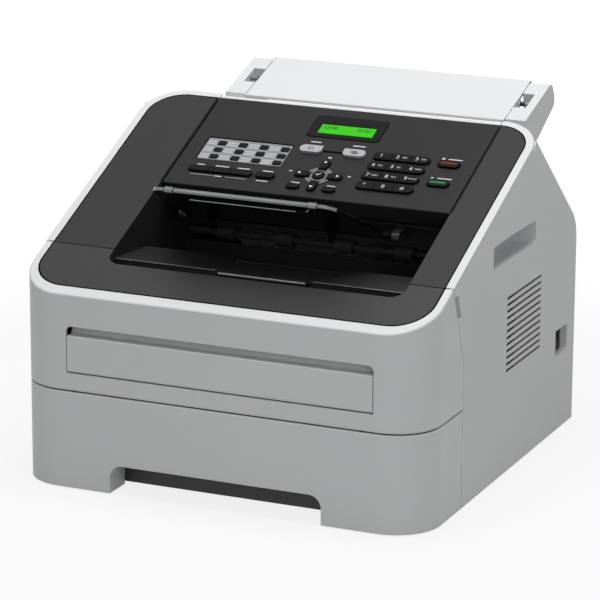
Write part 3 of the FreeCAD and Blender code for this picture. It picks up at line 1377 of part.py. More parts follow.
def make_document_ears():
    left_inner = FLAP_LEFT - CLEAR
    right_inner = FLAP_RIGHT + CLEAR
    left = make_document_ear(EAR_LEFT, left_inner, left_inner - EAR_NOTCH_WIDTH, left_inner + WALL)
    right = make_document_ear(right_inner, EAR_RIGHT, right_inner - WALL, right_inner + EAR_NOTCH_WIDTH)
    return Part.makeCompound([left, right])


def make_document_flap():
    half = FLAP_THICK / 2
    profile = [
        flap_point(0) + (half / 2,),
        flap_point(FLAP_LENGTH) + (half / 2,),
        flap_point(FLAP_LENGTH, FLAP_THICK) + (half / 2,),
        flap_point(0, FLAP_THICK) + (half / 2,),
    ]
    leaf = prism(profile, "x", FLAP_LEFT, FLAP_RIGHT)
    axis_y, axis_z = flap_point(FLAP_AXIS_ALONG, FLAP_AXIS_DEEP)
    pieces = [leaf]
    radius = FLAP_PIN + WALL
    for side in (-1, 1):
        edge = FLAP_LEFT if side < 0 else FLAP_RIGHT
        inner = edge - side * FLAP_LUG
        pieces.append(rod(edge, inner, axis_y, axis_z, radius))
        web = box(edge, inner, axis_y - radius, axis_y + radius, axis_z, axis_z + FLAP_AXIS_DEEP / 2)
        pieces.append(web)
        outer = edge + side * (CLEAR + EAR_NOTCH_WIDTH + FLAP_LUG)
        pieces.append(rod(edge, outer, axis_y, axis_z, FLAP_PIN))
    return join(pieces)


# Rear

def rear_line(drop):
    """Side view of the rear shell, from the rim wall down to the foot."""
    top_y = slope_point(TOP_LENGTH)[0] - WALL
    return [
        (top_y, back_height(top_y, drop)),
        (BACK - drop, BACK_SLOPE_FOOT - drop * math.tan(math.radians((90 - BACK_SLOPE) / 2)),
                BACK_ROUND - drop),
        (BACK - drop, GROUND_GAP),
    ]


def make_rear_cover():
    outer = rear_line(0)
    inner = rear_line(WALL)
    side = HALF - WALL
    shell = prism(outer + inner[::-1], "x", -side, side)
    door = door_outline(-DOOR_HALF - SEAM, DOOR_HALF + SEAM, DOOR_LOW - SEAM, DOOR_HIGH + SEAM,
            DOOR_LOW_CORNER, DOOR_CORNER)
    axis_y, axis_z = door_axis()
    pieces = [shell]
    top_y = outer[0][0]
    flange = [
        (CORNER_BLOCK_BACK + CLEAR, back_height(CORNER_BLOCK_BACK + CLEAR)),
        (top_y, back_height(top_y)),
        (top_y, back_height(top_y, WALL)),
        (CORNER_BLOCK_BACK + CLEAR, back_height(CORNER_BLOCK_BACK + CLEAR, WALL)),
    ]
    for end in (-1, 1):
        pieces.append(prism(flange, "x", end * side, end * (side - REAR_FLANGE)))
    for end in (-1, 1):
        edge = end * (DOOR_HALF + SEAM)
        far = edge + end * DOOR_LUG
        pieces.append(box(edge, far, axis_y - DOOR_BARREL, BACK - WALL / 2, axis_z - DOOR_BARREL,
                          axis_z + DOOR_BARREL))
    cover = join(pieces).cut(prism(door, "y", BACK - 2 * WALL, BACK + WALL))
    reach = DOOR_HALF + DOOR_PIN_REACH + CLEAR
    cover = cover.cut(rod(-reach, reach, axis_y, axis_z, DOOR_PIN + FIT))
    inlet = rectangle(INLET_X - INLET_WIDTH / 2 - FIT, INLET_X + INLET_WIDTH / 2 + FIT,
            INLET_Z - INLET_HEIGHT / 2 - FIT,
                      INLET_Z + INLET_HEIGHT / 2 + FIT)
    cover = cover.cut(prism(inlet, "y", BACK - 2 * WALL, BACK + WALL))
    for index in range(2):
        z = JACK_Z + index * JACK_PITCH
        jack = rectangle(JACK_X - JACK_SIZE / 2 - FIT, JACK_X + JACK_SIZE / 2 + FIT,
                z - JACK_SIZE / 2 - FIT,
                         z + JACK_SIZE / 2 + FIT)
        cover = cover.cut(prism(jack, "y", BACK - 2 * WALL, BACK + WALL))
    return cover


def door_axis():
    return (BACK - DOOR_BARREL, DOOR_LOW + DOOR_BARREL)


def make_back_cover():
    barrel = 2 * DOOR_BARREL
    nose = DOOR_BARREL - 1e-3
    profile = [
        (BACK, DOOR_LOW, nose),
        (BACK - barrel, DOOR_LOW, nose),
        (BACK - barrel, DOOR_LOW + barrel),
        (BACK - WALL, DOOR_LOW + barrel),
        (BACK - WALL, DOOR_HIGH),
        (BACK, DOOR_HIGH),
    ]
    panel = prism(profile, "x", -DOOR_HALF, DOOR_HALF)
    face = door_outline(-DOOR_HALF, DOOR_HALF, DOOR_LOW, DOOR_HIGH, DOOR_LOW_CORNER, DOOR_CORNER)
    panel = panel.common(prism(face, "y", BACK - DEPTH / 8, BACK))
    axis_y, axis_z = door_axis()
    left = rod(-DOOR_HALF - DOOR_PIN_REACH, -DOOR_HALF + DOOR_CORNER, axis_y, axis_z, DOOR_PIN)
    right = rod(DOOR_HALF - DOOR_CORNER, DOOR_HALF + DOOR_PIN_REACH, axis_y, axis_z, DOOR_PIN)
    return join([panel, left, right])


def make_power_inlet():
    half_w = INLET_WIDTH / 2
    half_h = INLET_HEIGHT / 2
    body = prism(rectangle(INLET_X - half_w, INLET_X + half_w, INLET_Z - half_h, INLET_Z + half_h), "y",
                 BACK - INLET_DEPTH, BACK)
    mouth = rectangle(INLET_X - half_w + WALL, INLET_X + half_w - WALL, INLET_Z - half_h + WALL,
            INLET_Z + half_h - WALL,
                      WALL)
    body = body.cut(prism(mouth, "y", BACK - INLET_DEPTH + 2 * WALL, BACK + WALL))
    pins = [body]
    for side in (-1, 1):
        pins.append(Part.makeCylinder(INLET_PIN, INLET_DEPTH - 2 * WALL, Vector(INLET_X + side * half_w / 3,
                                      BACK - INLET_DEPTH + WALL, INLET_Z), Vector(0, 1, 0)))
    return join(pins)


def make_line_jacks():
    half = JACK_SIZE / 2
    hole = JACK_HOLE / 2
    jacks = []
    for index in range(2):
        z = JACK_Z + index * JACK_PITCH
        jack = box(JACK_X - half, JACK_X + half, BACK - JACK_DEPTH, BACK, z - half, z + half)
        mouth = box(JACK_X - hole, JACK_X + hole, BACK - JACK_DEPTH + WALL, BACK + WALL, z - hole,
                z + hole / 2)
        latch = box(JACK_X - hole / 2, JACK_X + hole / 2, BACK - JACK_DEPTH + WALL, BACK + WALL, z,
                z + hole)
        jacks.append(jack.cut(mouth.fuse(latch)))
    return Part.makeCompound(jacks)


# Base frame and print engine

def frame_profile():
    """Side view of a frame wall: under the well in front, up to the exit roller behind."""
    under = floor_line(FLOOR_THICK)
    rear = under[-1][0]
    return [
        (FRONT + FRAME_FRONT, FRAME_LOW),
        (BACK - FRAME_BACK, FRAME_LOW),
        (BACK - FRAME_BACK, DECK_HEIGHT + DRUM_HEIGHT),
        (FUSER_Y + FUSER_DEPTH, FRAME_REAR_HEIGHT),
        (rear + CLEAR, FRAME_REAR_HEIGHT),
        (rear + CLEAR, under[3][1]),
        (under[2][0], under[2][1]),
        (under[1][0], under[1][1]),
        (under[0][0] + WALL + CLEAR, under[0][1] - WALL * FLOOR_CREASE_DROP / FLOOR_CREASE_BACK - CLEAR),
        (under[0][0] + WALL + CLEAR, FLOOR_FRONT_HEIGHT - FLOOR_FRONT_DROP - CLEAR),
        (FRONT + FRAME_FRONT, DECK_HEIGHT + DRUM_HEIGHT),
    ]


def make_base_frame():
    pieces = []
    outer = FRAME_HALF + FRAME_WALL
    for side in (-1, 1):
        pieces.append(prism(frame_profile(), "x", side * FRAME_HALF, side * outer))
        far = side * (HALF - FLANGE_INSET)
        pieces.append(box(side * outer, far, FRONT + FLANGE_FRONT, BACK - FLANGE_BACK, FRAME_LOW,
                          FRAME_LOW + FRAME_WALL))
        arm = [
            (HINGE_Y, HINGE_Z - HINGE_RING),
            (FRONT + FRAME_FRONT + WALL, HINGE_Z - HINGE_RING),
            (FRONT + FRAME_FRONT + WALL, HINGE_Z + 3 * HINGE_RING),
            (HINGE_Y, HINGE_Z + HINGE_RING),
        ]
        pieces.append(prism(arm, "x", side * FRAME_HALF, side * outer))
        pieces.append(rod(side * FRAME_HALF, side * outer, HINGE_Y, HINGE_Z,
                          HINGE_RING))
    pieces.append(box(-FRAME_HALF, FRAME_HALF, FRONT + DECK_FRONT, BACK - FRAME_BACK, DECK_HEIGHT,
            DECK_HEIGHT + DECK_THICK))
    frame = join(pieces)
    frame = frame.cut(rod(-outer, outer, HINGE_Y, HINGE_Z, HINGE_PIN + FIT))
    frame = frame.cut(rod(-outer, outer, PICKUP_Y, PICKUP_Z, SHAFT + FIT))
    frame = frame.cut(rod(-outer, outer, EJECT_Y, EJECT_Z, SHAFT + FIT))
    return frame


def make_feet():
    feet = []
    for x in (-HALF + FOOT_INSET, HALF - FOOT_INSET):
        for y in (FRONT + FOOT_FRONT, BACK - FOOT_BACK):
            foot = Part.makeCone(FOOT_RADIUS - EDGE_ROUND / 2, FOOT_RADIUS, FOOT_HEIGHT, Vector(x, y,
                    FRAME_LOW - FOOT_HEIGHT))
            feet.append(foot)
    return Part.makeCompound(feet)


def make_hinge_pins():
    pins = []
    inner = FRAME_HALF - WALL
    for side in (-1, 1):
        pins.append(rod(side * inner, side * (inner + HINGE_PIN_LENGTH), HINGE_Y, HINGE_Z, HINGE_PIN))
    for edge in (PANEL_LEFT, PANEL_RIGHT):
        pins.append(lay_rod(edge - BEAD_PIN_LENGTH / 2, edge + BEAD_PIN_LENGTH / 2, BEAD_AXIS,
                -BEAD_RADIUS, BEAD_PIN))
    return Part.makeCompound(pins)


def make_pickup_roller():
    shaft = rod(-FRAME_HALF - FRAME_WALL, FRAME_HALF + FRAME_WALL, PICKUP_Y, PICKUP_Z, SHAFT)
    tyre = rod(-PICKUP_HALF, PICKUP_HALF, PICKUP_Y, PICKUP_Z, PICKUP_RADIUS)
    return join([shaft, tyre])


def make_eject_roller():
    pieces = [rod(-FRAME_HALF - FRAME_WALL, FRAME_HALF + FRAME_WALL, EJECT_Y, EJECT_Z, SHAFT)]
    for index in range(EJECT_ROLLERS):
        x = (index - (EJECT_ROLLERS - 1) / 2) * EJECT_PITCH
        pieces.append(rod(x - EJECT_LENGTH / 2, x + EJECT_LENGTH / 2, EJECT_Y, EJECT_Z, EJECT_RADIUS))
    return join(pieces)


def fuser_roller_z(index):
    """Height of the heat roller, or of the pressure roller below it."""
    return FUSER_Z - index * (2 * FUSER_ROLLER + FUSER_ROLLER_GAP)


def make_fuser_roller(index):
    tube = rod(-FUSER_HALF + 2 * FUSER_WALL, FUSER_HALF - 2 * FUSER_WALL, FUSER_Y, fuser_roller_z(index),
            FUSER_ROLLER)
    shaft = rod(-FUSER_HALF, FUSER_HALF, FUSER_Y, fuser_roller_z(index), SHAFT)
    return join([tube, shaft])


def make_fuser_frame():
    low = DECK_HEIGHT + DECK_THICK
    high = low + FUSER_HEIGHT
    pieces = []
    for side in (-1, 1):
        inner = side * (FUSER_HALF - FUSER_WALL)
        outer = side * FUSER_HALF
        cheek = rectangle(FUSER_Y - FUSER_DEPTH / 2 - FUSER_WALL, FUSER_Y + FUSER_DEPTH / 2 + FUSER_WALL,
                low, high,
                          FUSER_WALL)
        pieces.append(prism(cheek, "x", inner, outer))
    hood = rectangle(FUSER_Y - FUSER_DEPTH / 2, FUSER_Y + FUSER_DEPTH / 2, high - 2 * FUSER_WALL,
            high - FUSER_WALL)
    pieces.append(prism(hood, "x", -FUSER_HALF + FUSER_WALL, FUSER_HALF - FUSER_WALL))
    base = rectangle(FUSER_Y - FUSER_DEPTH / 2, FUSER_Y + FUSER_DEPTH / 2, low, low + FUSER_WALL)
    pieces.append(prism(base, "x", -FUSER_HALF + FUSER_WALL, FUSER_HALF - FUSER_WALL))
    frame = join(pieces)
    for index in range(2):
        frame = frame.cut(rod(-FUSER_HALF, FUSER_HALF, FUSER_Y, fuser_roller_z(index), SHAFT + FIT))
    return frame


def make_drum_unit():
    low = DECK_HEIGHT + DECK_THICK
    front_lip = low + DRUM_FRONT_LIP
    start = FRONT + DECK_FRONT
    outline = [
        (DRUM_FRONT, low + PICKUP_RADIUS),
        (start, low),
        (DRUM_BACK, low),
        (DRUM_BACK, low + DRUM_HEIGHT, DRUM_WALL),
        (DRUM_FRONT, low + DRUM_HEIGHT, DRUM_WALL),
    ]
    outer = prism(outline, "x", -DRUM_HALF, DRUM_HALF)
    hollow = [
        (TONER_FRONT - DRUM_WALL, front_lip),
        (TONER_BACK + DRUM_WALL, front_lip),
        (TONER_BACK + DRUM_WALL, REACH),
        (TONER_FRONT - DRUM_WALL, REACH),
    ]
    rollers = rod(-FRAME_HALF, FRAME_HALF, PICKUP_Y, PICKUP_Z, PICKUP_RADIUS + WALL)
    return outer.cut(prism(hollow, "x", -TONER_HALF - WALL, TONER_HALF + WALL)).cut(rollers)


def make_toner_cartridge():
    low = DECK_HEIGHT + DECK_THICK + DRUM_FRONT_LIP
    high = DECK_HEIGHT + DECK_THICK + TONER_TOP
    profile = [
        (TONER_FRONT, low, DRUM_WALL),
        (TONER_BACK, low, DRUM_WALL),
        (TONER_BACK, high - 4 * DRUM_WALL, 2 * DRUM_WALL),
        (TONER_BACK - TONER_HANDLE, high, 2 * DRUM_WALL),
        (TONER_FRONT, high, 2 * DRUM_WALL),
    ]
    body = prism(profile, "x", -TONER_HALF, TONER_HALF)
    grip = rectangle(-TONER_HANDLE, TONER_HANDLE, high - 4 * DRUM_WALL, high - 2 * DRUM_WALL,
            DRUM_WALL - 1e-3)
    return body.cut(prism(grip, "y", TONER_FRONT - WALL, TONER_FRONT + 3 * DRUM_WALL))


def make_laser_unit():
    under = floor_line(FLOOR_THICK)
    tilt = FLOOR_CREASE_DROP / FLOOR_CREASE_BACK
    crease = under[1][0]
    fall = (FLOOR_LOW_DROP - FLOOR_CREASE_DROP) / (FLOOR_LOW_BACK - FLOOR_CREASE_BACK)
    front_high = under[0][1] - (LASER_FRONT - under[0][0]) * tilt
    profile = [
        (LASER_FRONT, LASER_LOW),
        (LASER_BACK, LASER_LOW),
        (LASER_BACK, under[1][1] - (LASER_BACK - crease) * fall - 2 * STOP_THICK),
        (crease, under[1][1] - 2 * STOP_THICK),
        (LASER_FRONT, front_high - 2 * STOP_THICK),
    ]
    block = prism(profile, "x", -LASER_HALF, LASER_HALF)
    wings = []
    for side in (-1, 1):
        wings.append(box(side * LASER_HALF, side * FRAME_HALF, LASER_FRONT,
                         LASER_BACK, LASER_LOW, LASER_LOW + DECK_THICK))
    return join([block] + wings)


def make_drive_motor():
    start = -FRAME_HALF - FRAME_WALL
    half = MOTOR_FLANGE / 2
    flange = prism(rectangle(MOTOR_Y - half, MOTOR_Y + half, MOTOR_Z - half, MOTOR_Z + half,
            MOTOR_PLATE), "x",
                   start - MOTOR_PLATE, start)
    can = rod(start - MOTOR_PLATE - MOTOR_LENGTH, start - MOTOR_PLATE, MOTOR_Y, MOTOR_Z, MOTOR_RADIUS)
    cap = rod(start - 2 * MOTOR_PLATE - MOTOR_LENGTH, start - MOTOR_PLATE, MOTOR_Y, MOTOR_Z,
            MOTOR_RADIUS / 2)
    return join([flange, can, cap])


def make_main_board():
    x = FRAME_HALF + FRAME_WALL
    board = box(x, x + BOARD_THICK, MAIN_BOARD_FRONT, MAIN_BOARD_BACK, MAIN_BOARD_LOW, MAIN_BOARD_HIGH)
    pieces = [board]
    for index in range(3):
        y = MAIN_BOARD_FRONT + CHIP / 2 + index * 1.5 * CHIP
        z = MAIN_BOARD_LOW + CHIP + (index % 2) * 2 * CHIP
        pieces.append(box(x + BOARD_THICK, x + BOARD_THICK + CHIP_THICK, y, y + CHIP, z, z + CHIP))
    return join(pieces)


def make_power_supply():
    x = FRAME_HALF + FRAME_WALL
    shell = box(x, x + SUPPLY_DEEP, SUPPLY_FRONT, SUPPLY_BACK, SUPPLY_LOW, SUPPLY_HIGH)
    slots = []
    pitch = LOUVRE_PITCH * 2
    count = int((SUPPLY_BACK - SUPPLY_FRONT) / pitch) - 1
    for index in range(count):
        y = SUPPLY_FRONT + pitch + index * pitch
        slots.append(box(x + SUPPLY_DEEP - WALL, x + SUPPLY_DEEP + WALL, y, y + LOUVRE_SLOT,
                SUPPLY_LOW + pitch,
                         SUPPLY_HIGH - pitch))
    return shell.cut(slots)


def build():
    nodes = {
        "front_cover": make_front_cover(),
        "front_trim": make_front_trim(),
        "manual_feed_cover": make_manual_feed_cover(),
        "tray_front": make_tray_front(),
        "paper_tray": make_paper_tray(),
        "pressure_plate": make_pressure_plate(),
        "width_guide_left": make_width_guide(-1),
        "width_guide_right": make_width_guide(1),
        "length_guide": make_length_guide(),
        "left_side_cover": make_side_cover(-1),
        "right_side_cover": make_side_cover(1),
        "power_switch": make_power_switch(),
        "top_cover": make_top_cover(),
        "paper_stop": make_paper_stop(),
        "control_panel": make_control_panel(),
        "panel_edge": make_panel_edge(),
        "key_board": make_key_board(),
        "display_window": make_display_window(),
        "display": make_display(),
        "document_guide": make_document_guide(),
        "scan_bar": make_scan_bar(),
        "document_roller": make_document_roller(),
        "output_support": make_output_support(),
        "output_extension": make_output_extension(),
        "document_ears": make_document_ears(),
        "document_flap": make_document_flap(),
        "rear_cover": make_rear_cover(),
        "back_cover": make_back_cover(),
        "power_inlet": make_power_inlet(),
        "line_jacks": make_line_jacks(),
        "base_frame": make_base_frame(),
        "feet": make_feet(),
        "hinge_pins": make_hinge_pins(),
        "pickup_roller": make_pickup_roller(),
        "eject_roller": make_eject_roller(),
        "heat_roller": make_fuser_roller(0),
        "pressure_roller": make_fuser_roller(1),
        "fuser_frame": make_fuser_frame(),
        "drum_unit": make_drum_unit(),
        "toner_cartridge": make_toner_cartridge(),
        "laser_unit": make_laser_unit(),
        "drive_motor": make_drive_motor(),
        "main_board": make_main_board(),
        "power_supply": make_power_supply(),
    }
    nodes.update(make_keys())
    return nodes


def main():
    os.makedirs("parts", exist_ok=True)
    for name, shape in build().items():
        shape.exportStep("parts/" + name + ".step")
        box_of = shape.BoundBox
        print(name, len(shape.Solids), round(shape.Volume), shape.isValid(),
              [round(v, 1) for v in (box_of.XMin, box_of.XMax, box_of.YMin, box_of.YMax, box_of.ZMin,
                      box_of.ZMax)])


main()
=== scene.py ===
# %% [markdown]
# # A desktop fax machine, dressed for its portrait
# The solid model already holds every cover, key and roller. This script loads it,
# gives each piece the finish of its real material, adds the printed legends and thin
# trim that a solid model leaves out, and sets a camera and a plain studio around it.

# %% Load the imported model
import math

import bmesh
import bpy
from mathutils import Matrix, Vector


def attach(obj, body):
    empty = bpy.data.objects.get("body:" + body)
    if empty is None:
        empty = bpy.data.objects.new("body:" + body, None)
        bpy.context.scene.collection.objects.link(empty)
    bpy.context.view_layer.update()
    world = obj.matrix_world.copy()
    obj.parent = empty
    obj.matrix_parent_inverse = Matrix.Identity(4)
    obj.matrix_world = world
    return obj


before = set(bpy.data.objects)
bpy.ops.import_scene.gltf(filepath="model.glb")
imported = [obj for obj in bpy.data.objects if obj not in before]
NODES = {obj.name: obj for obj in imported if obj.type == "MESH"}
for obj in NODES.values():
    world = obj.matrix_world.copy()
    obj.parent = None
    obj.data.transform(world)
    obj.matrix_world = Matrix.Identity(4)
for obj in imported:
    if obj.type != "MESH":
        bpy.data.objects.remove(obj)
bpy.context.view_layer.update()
MM = 0.001

# %% [markdown]
# ## Colours and nodes
# Paint and plastic colours are easiest to read as sRGB hex values, but the shader works
# with linear light, so one function turns the first into the second. One more function
# adds a shader node with its settings and links: every material below is made of it.


# %% Small tools for materials
def linear(hex_colour):
    """Linear RGBA of an sRGB hex colour such as "#d8d9da"."""
    channels = []
    for start in (1, 3, 5):
        value = int(hex_colour[start:start + 2], 16) / 255
        channels.append(value / 12.92 if value <= 0.04045 else ((value + 0.055) / 1.055) ** 2.4)
    return (*channels, 1.0)


def tinted(hex_colour, factor):
    """Linear RGBA of a hex colour, made darker or lighter by a factor."""
    return (*[min(1.0, channel * factor) for channel in linear(hex_colour)[:3]], 1.0)


def add_node(tree, kind, links=None, inputs=None, **settings):
    """Adds one node: its settings, its fixed inputs, and links from other nodes' outputs."""
    node = tree.nodes.new(kind)
    for name, value in settings.items():
        setattr(node, name, value)
    for name, value in (inputs or {}).items():
        node.inputs[name].default_value = value
    for name, source in (links or {}).items():
        tree.links.new(source, node.inputs[name])
    return node


def new_material(name):
    """Starts a material, and hands it back with its node tree and its shader."""
    material = bpy.data.materials.new(name)
    material.use_nodes = True
    tree = material.node_tree
    return material, tree, tree.nodes["Principled BSDF"]


print("tools ready; mid grey is", [round(channel, 3) for channel in linear("#808080")])

# %% [markdown]
# ## Moulded plastics
# Nearly all of the machine is injection-moulded ABS. The steel mould is spark-eroded, so
# the plastic carries a fine grain that softens its highlights, and the flow of the melt
# leaves very faint, broad changes of shade. Gloss parts come from a polished mould and
# keep only a slight waviness. One recipe covers both: grain size, depth and roughness differ.

# %% A recipe for moulded plastic
CLOUD_SIZE = 70 * MM
PLASTIC_IOR, COAT_ROUGHNESS = 1.52, 0.06
ROUGHNESS_SWING, BUMP_STRENGTH, EDGE_SAMPLES = 0.05, 0.5, 4


def moulded_plastic(name, colour, roughness, grain_mm, depth_mm,
                    spread=0.03, coat=0.0, edge_mm=0.7, shine=0.5):
    """Moulded plastic: grain of a given size, faint clouding, and softly broken edges."""
    material, tree, shader = new_material(name)
    place = add_node(tree, "ShaderNodeTexCoord")
    cloud = add_node(tree, "ShaderNodeTexNoise", {"Vector": place.outputs["Object"]},
                     {"Scale": 1 / CLOUD_SIZE, "Detail": 3.0, "Roughness": 0.5})
    shade = add_node(tree, "ShaderNodeMix", {"Factor": cloud.outputs["Fac"]}, data_type="RGBA")
    shade.inputs["A"].default_value = tinted(colour, 1 - spread)
    shade.inputs["B"].default_value = tinted(colour, 1 + spread)
    tree.links.new(shade.outputs["Result"], shader.inputs["Base Color"])
    grain = add_node(tree, "ShaderNodeTexNoise", {"Vector": place.outputs["Object"]},
                     {"Scale": 1 / (grain_mm * MM), "Detail": 2.0, "Roughness": 0.6})
    gloss = add_node(tree, "ShaderNodeMapRange", {"Value": grain.outputs["Fac"]},
                     {"To Min": roughness - ROUGHNESS_SWING, "To Max": roughness + ROUGHNESS_SWING})
    tree.links.new(gloss.outputs["Result"], shader.inputs["Roughness"])
    rounded_edge = add_node(tree, "ShaderNodeBevel", None, {"Radius": edge_mm * MM}, samples=EDGE_SAMPLES)
    bump = add_node(tree, "ShaderNodeBump",
                    {"Height": grain.outputs["Fac"], "Normal": rounded_edge.outputs["Normal"]},
                    {"Strength": BUMP_STRENGTH, "Distance": depth_mm * MM})
    tree.links.new(bump.outputs["Normal"], shader.inputs["Normal"])
    shader.inputs["IOR"].default_value = PLASTIC_IOR
    shader.inputs["Specular IOR Level"].default_value = shine
    shader.inputs["Coat Weight"].default_value = coat
    shader.inputs["Coat Roughness"].default_value = COAT_ROUGHNESS
    return material


LIGHT_ABS = moulded_plastic("light grey ABS, spark-eroded grain", "#d9dadb", 0.48, 0.9, 0.05, shine=0.4)
CHARCOAL_ABS = moulded_plastic("charcoal ABS, fine satin grain", "#1d1d1e", 0.42, 0.7, 0.04,
                               spread=0.06, shine=0.13)
# Painted light: the top cover and the paper stop are a lighter charcoal than the panel, standing for light
# on the shaded floor of the output well.
COVER_ABS_PAINTED_LIGHT = moulded_plastic("charcoal ABS of the top cover, satin", "#272728", 0.42, 0.7, 0.04,
                            spread=0.06, shine=0.17)
# Painted sheen: the front trim is a lighter charcoal still, standing for the reflections along it.
TRIM_ABS_PAINTED_SHEEN = moulded_plastic("charcoal ABS of the front trim, satin", "#303031", 0.42, 0.7, 0.04,
                           spread=0.06, shine=0.2)
BLACK_ABS = moulded_plastic("black ABS, satin grain", "#161617", 0.5, 0.9, 0.05, spread=0.08)
# Painted highlight and shade: this light grey on thin beads and bands stands for the light that rounded
# black edges catch, and on the flap's pin sleeves it stands for the shade in their notches.
PAINTED_HIGHLIGHT_AND_SHADE_GREY = moulded_plastic("black ABS, polished edge in the light", "#72787b", 0.25, 1.4, 0.02,
                            spread=0.06, coat=0.6, edge_mm=0.3)
GLOSS_BLACK = moulded_plastic("black polystyrene, polished mould", "#0b0b0c", 0.14, 9.0, 0.02,
                              spread=0.05, coat=1.0, edge_mm=1.8)
KEY_BLACK = moulded_plastic("black polycarbonate key, satin", "#060607", 0.3, 1.2, 0.02,
                            spread=0.05, edge_mm=0.5, shine=0.08)
SILVER_KEY = moulded_plastic("silver-painted polycarbonate key", "#a9aaad", 0.3, 0.5, 0.03,
                             spread=0.04, coat=0.2, edge_mm=0.5, shine=0.3)
SMOKED = moulded_plastic("smoked acrylic window", "#060606", 0.16, 12.0, 0.01, edge_mm=0.4, shine=0.1)
# Painted shadow: this matt black lies on thin bands and strips where gaps, grooves and recesses are in
# shade.
PAINTED_SHADOW_BLACK = moulded_plastic("matt black of painted shadow in gaps, grooves and recesses", "#020202", 0.9, 1.0, 0.01,
                            shine=0.05)
DEEP_SHADE = moulded_plastic("light grey ABS in deep shade", "#242527", 0.8, 0.9, 0.05, shine=0.2)
HALF_SHADE = moulded_plastic("light grey ABS in half shade", "#565859", 0.8, 0.9, 0.05, shine=0.2)
OPEN_SHADE = moulded_plastic("light grey ABS in open shade", "#85878a", 0.8, 0.9, 0.05, shine=0.2)
DRUM_PLASTIC = moulded_plastic("blue-black polystyrene drum case", "#20242c", 0.4, 1.0, 0.04)
print("plastics:", len(bpy.data.materials))

# %% [markdown]
# ## Rubber, metal and circuit board
# Rollers and feet are cured rubber, matt and very slightly dusty. Pressed steel is zinc
# plated, turned shafts and drawn tubes keep fine lines from the tool. Circuit boards have
# green solder resist over copper tracks, which show as a slightly lighter pattern.

# %% Rubber, metal and board materials
SMOOTHER, ROUGHER, LINE_SHADE = 0.08, 0.1, 0.85


def worked_metal(name, colour, roughness, line_mm, stretch):
    """Metal with fine lines along one axis, left by a roll, a die or a lathe."""
    material, tree, shader = new_material(name)
    shader.inputs["Metallic"].default_value = 1.0
    place = add_node(tree, "ShaderNodeTexCoord")
    along = add_node(tree, "ShaderNodeMapping", {"Vector": place.outputs["Object"]}, {"Scale": stretch})
    lines = add_node(tree, "ShaderNodeTexNoise", {"Vector": along.outputs["Vector"]},
                     {"Scale": 1 / (line_mm * MM), "Detail": 3.0})
    gloss = add_node(tree, "ShaderNodeMapRange", {"Value": lines.outputs["Fac"]},
                     {"To Min": roughness - SMOOTHER, "To Max": roughness + ROUGHER})
    tree.links.new(gloss.outputs["Result"], shader.inputs["Roughness"])
    tone = add_node(tree, "ShaderNodeMix", {"Factor": lines.outputs["Fac"]}, data_type="RGBA")
    tone.inputs["A"].default_value = tinted(colour, LINE_SHADE)
    tone.inputs["B"].default_value = linear(colour)
    tree.links.new(tone.outputs["Result"], shader.inputs["Base Color"])
    return material


RUBBER = moulded_plastic("black nitrile rubber, matt", "#1b1b1c", 0.78, 1.5, 0.06, spread=0.1)
SILICONE = moulded_plastic("red-brown silicone rubber sleeve", "#6a3428", 0.6, 1.5, 0.04, spread=0.06)
BOARD = moulded_plastic("green solder resist over copper", "#1d5a34", 0.35, 2.5, 0.05, spread=0.25)
STEEL = worked_metal("turned steel", "#b8babd", 0.25, 0.4, (0.05, 1, 1))
ZINC = worked_metal("zinc-plated pressed steel", "#a3a7ab", 0.38, 2.0, (1, 0.2, 1))
ALUMINIUM = worked_metal("drawn aluminium", "#c4c6c8", 0.3, 0.6, (0.05, 1, 1))
print("materials so far:", len(bpy.data.materials))

# %% [markdown]
# ## Inks and film
# The legends are pad-printed in white ink, and the label sheet round the one-touch keys is
# silver film. A picture could carry such prints, but thin plates of ink keep a crisp edge
# at any distance, so ink is one more moulded finish here, with hardly any grain.


# %% Inks and film
def printed_ink(name, colour, roughness=0.6):
    """Matt printing ink with slight unevenness."""
    return moulded_plastic(name, colour, roughness, 0.6, 0.01, spread=0.05, edge_mm=0.05, shine=0.15)


WHITE_INK = printed_ink("white pad-printed ink", "#d6d7d8")
RED_INK = printed_ink("red pad-printed ink", "#6b1518", 0.35)
GREEN_INK = printed_ink("green pad-printed ink", "#08703a", 0.35)
LCD_INK = printed_ink("dark liquid-crystal segments", "#17400d", 0.3)
SILVER_FILM = moulded_plastic("silver polyester label film", "#86888c", 0.32, 0.8, 0.02,
                              spread=0.05, coat=0.1, edge_mm=0.1, shine=0.3)
PALE_FILM = moulded_plastic("white label paper under film", "#afb0b4", 0.4, 0.8, 0.02,
                            coat=0.1, edge_mm=0.1, shine=0.3)
RING_GREY = moulded_plastic("mid-grey painted ring", "#5c5e61", 0.35, 0.6, 0.03,
                            spread=0.06, coat=0.2, edge_mm=0.3)
print("inks and films added; materials:", len(bpy.data.materials))

# %% [markdown]
# ## Green display
# The display is a liquid-crystal cell that dims the light of a green sheet behind it. Glass
# over a lamp would be truer but noisy, so the sheet itself glows. A brick pattern without
# offset draws its pixel grid, a little coarser than the real one, which is too fine to show.

# %% Display material
GRID_SHADE, GRID_WIDTH, CELL_DARK = 0.8, 0.03, "#0c2008"
CELL_ROUGHNESS, CELL_SHINE = 0.15, 0.1


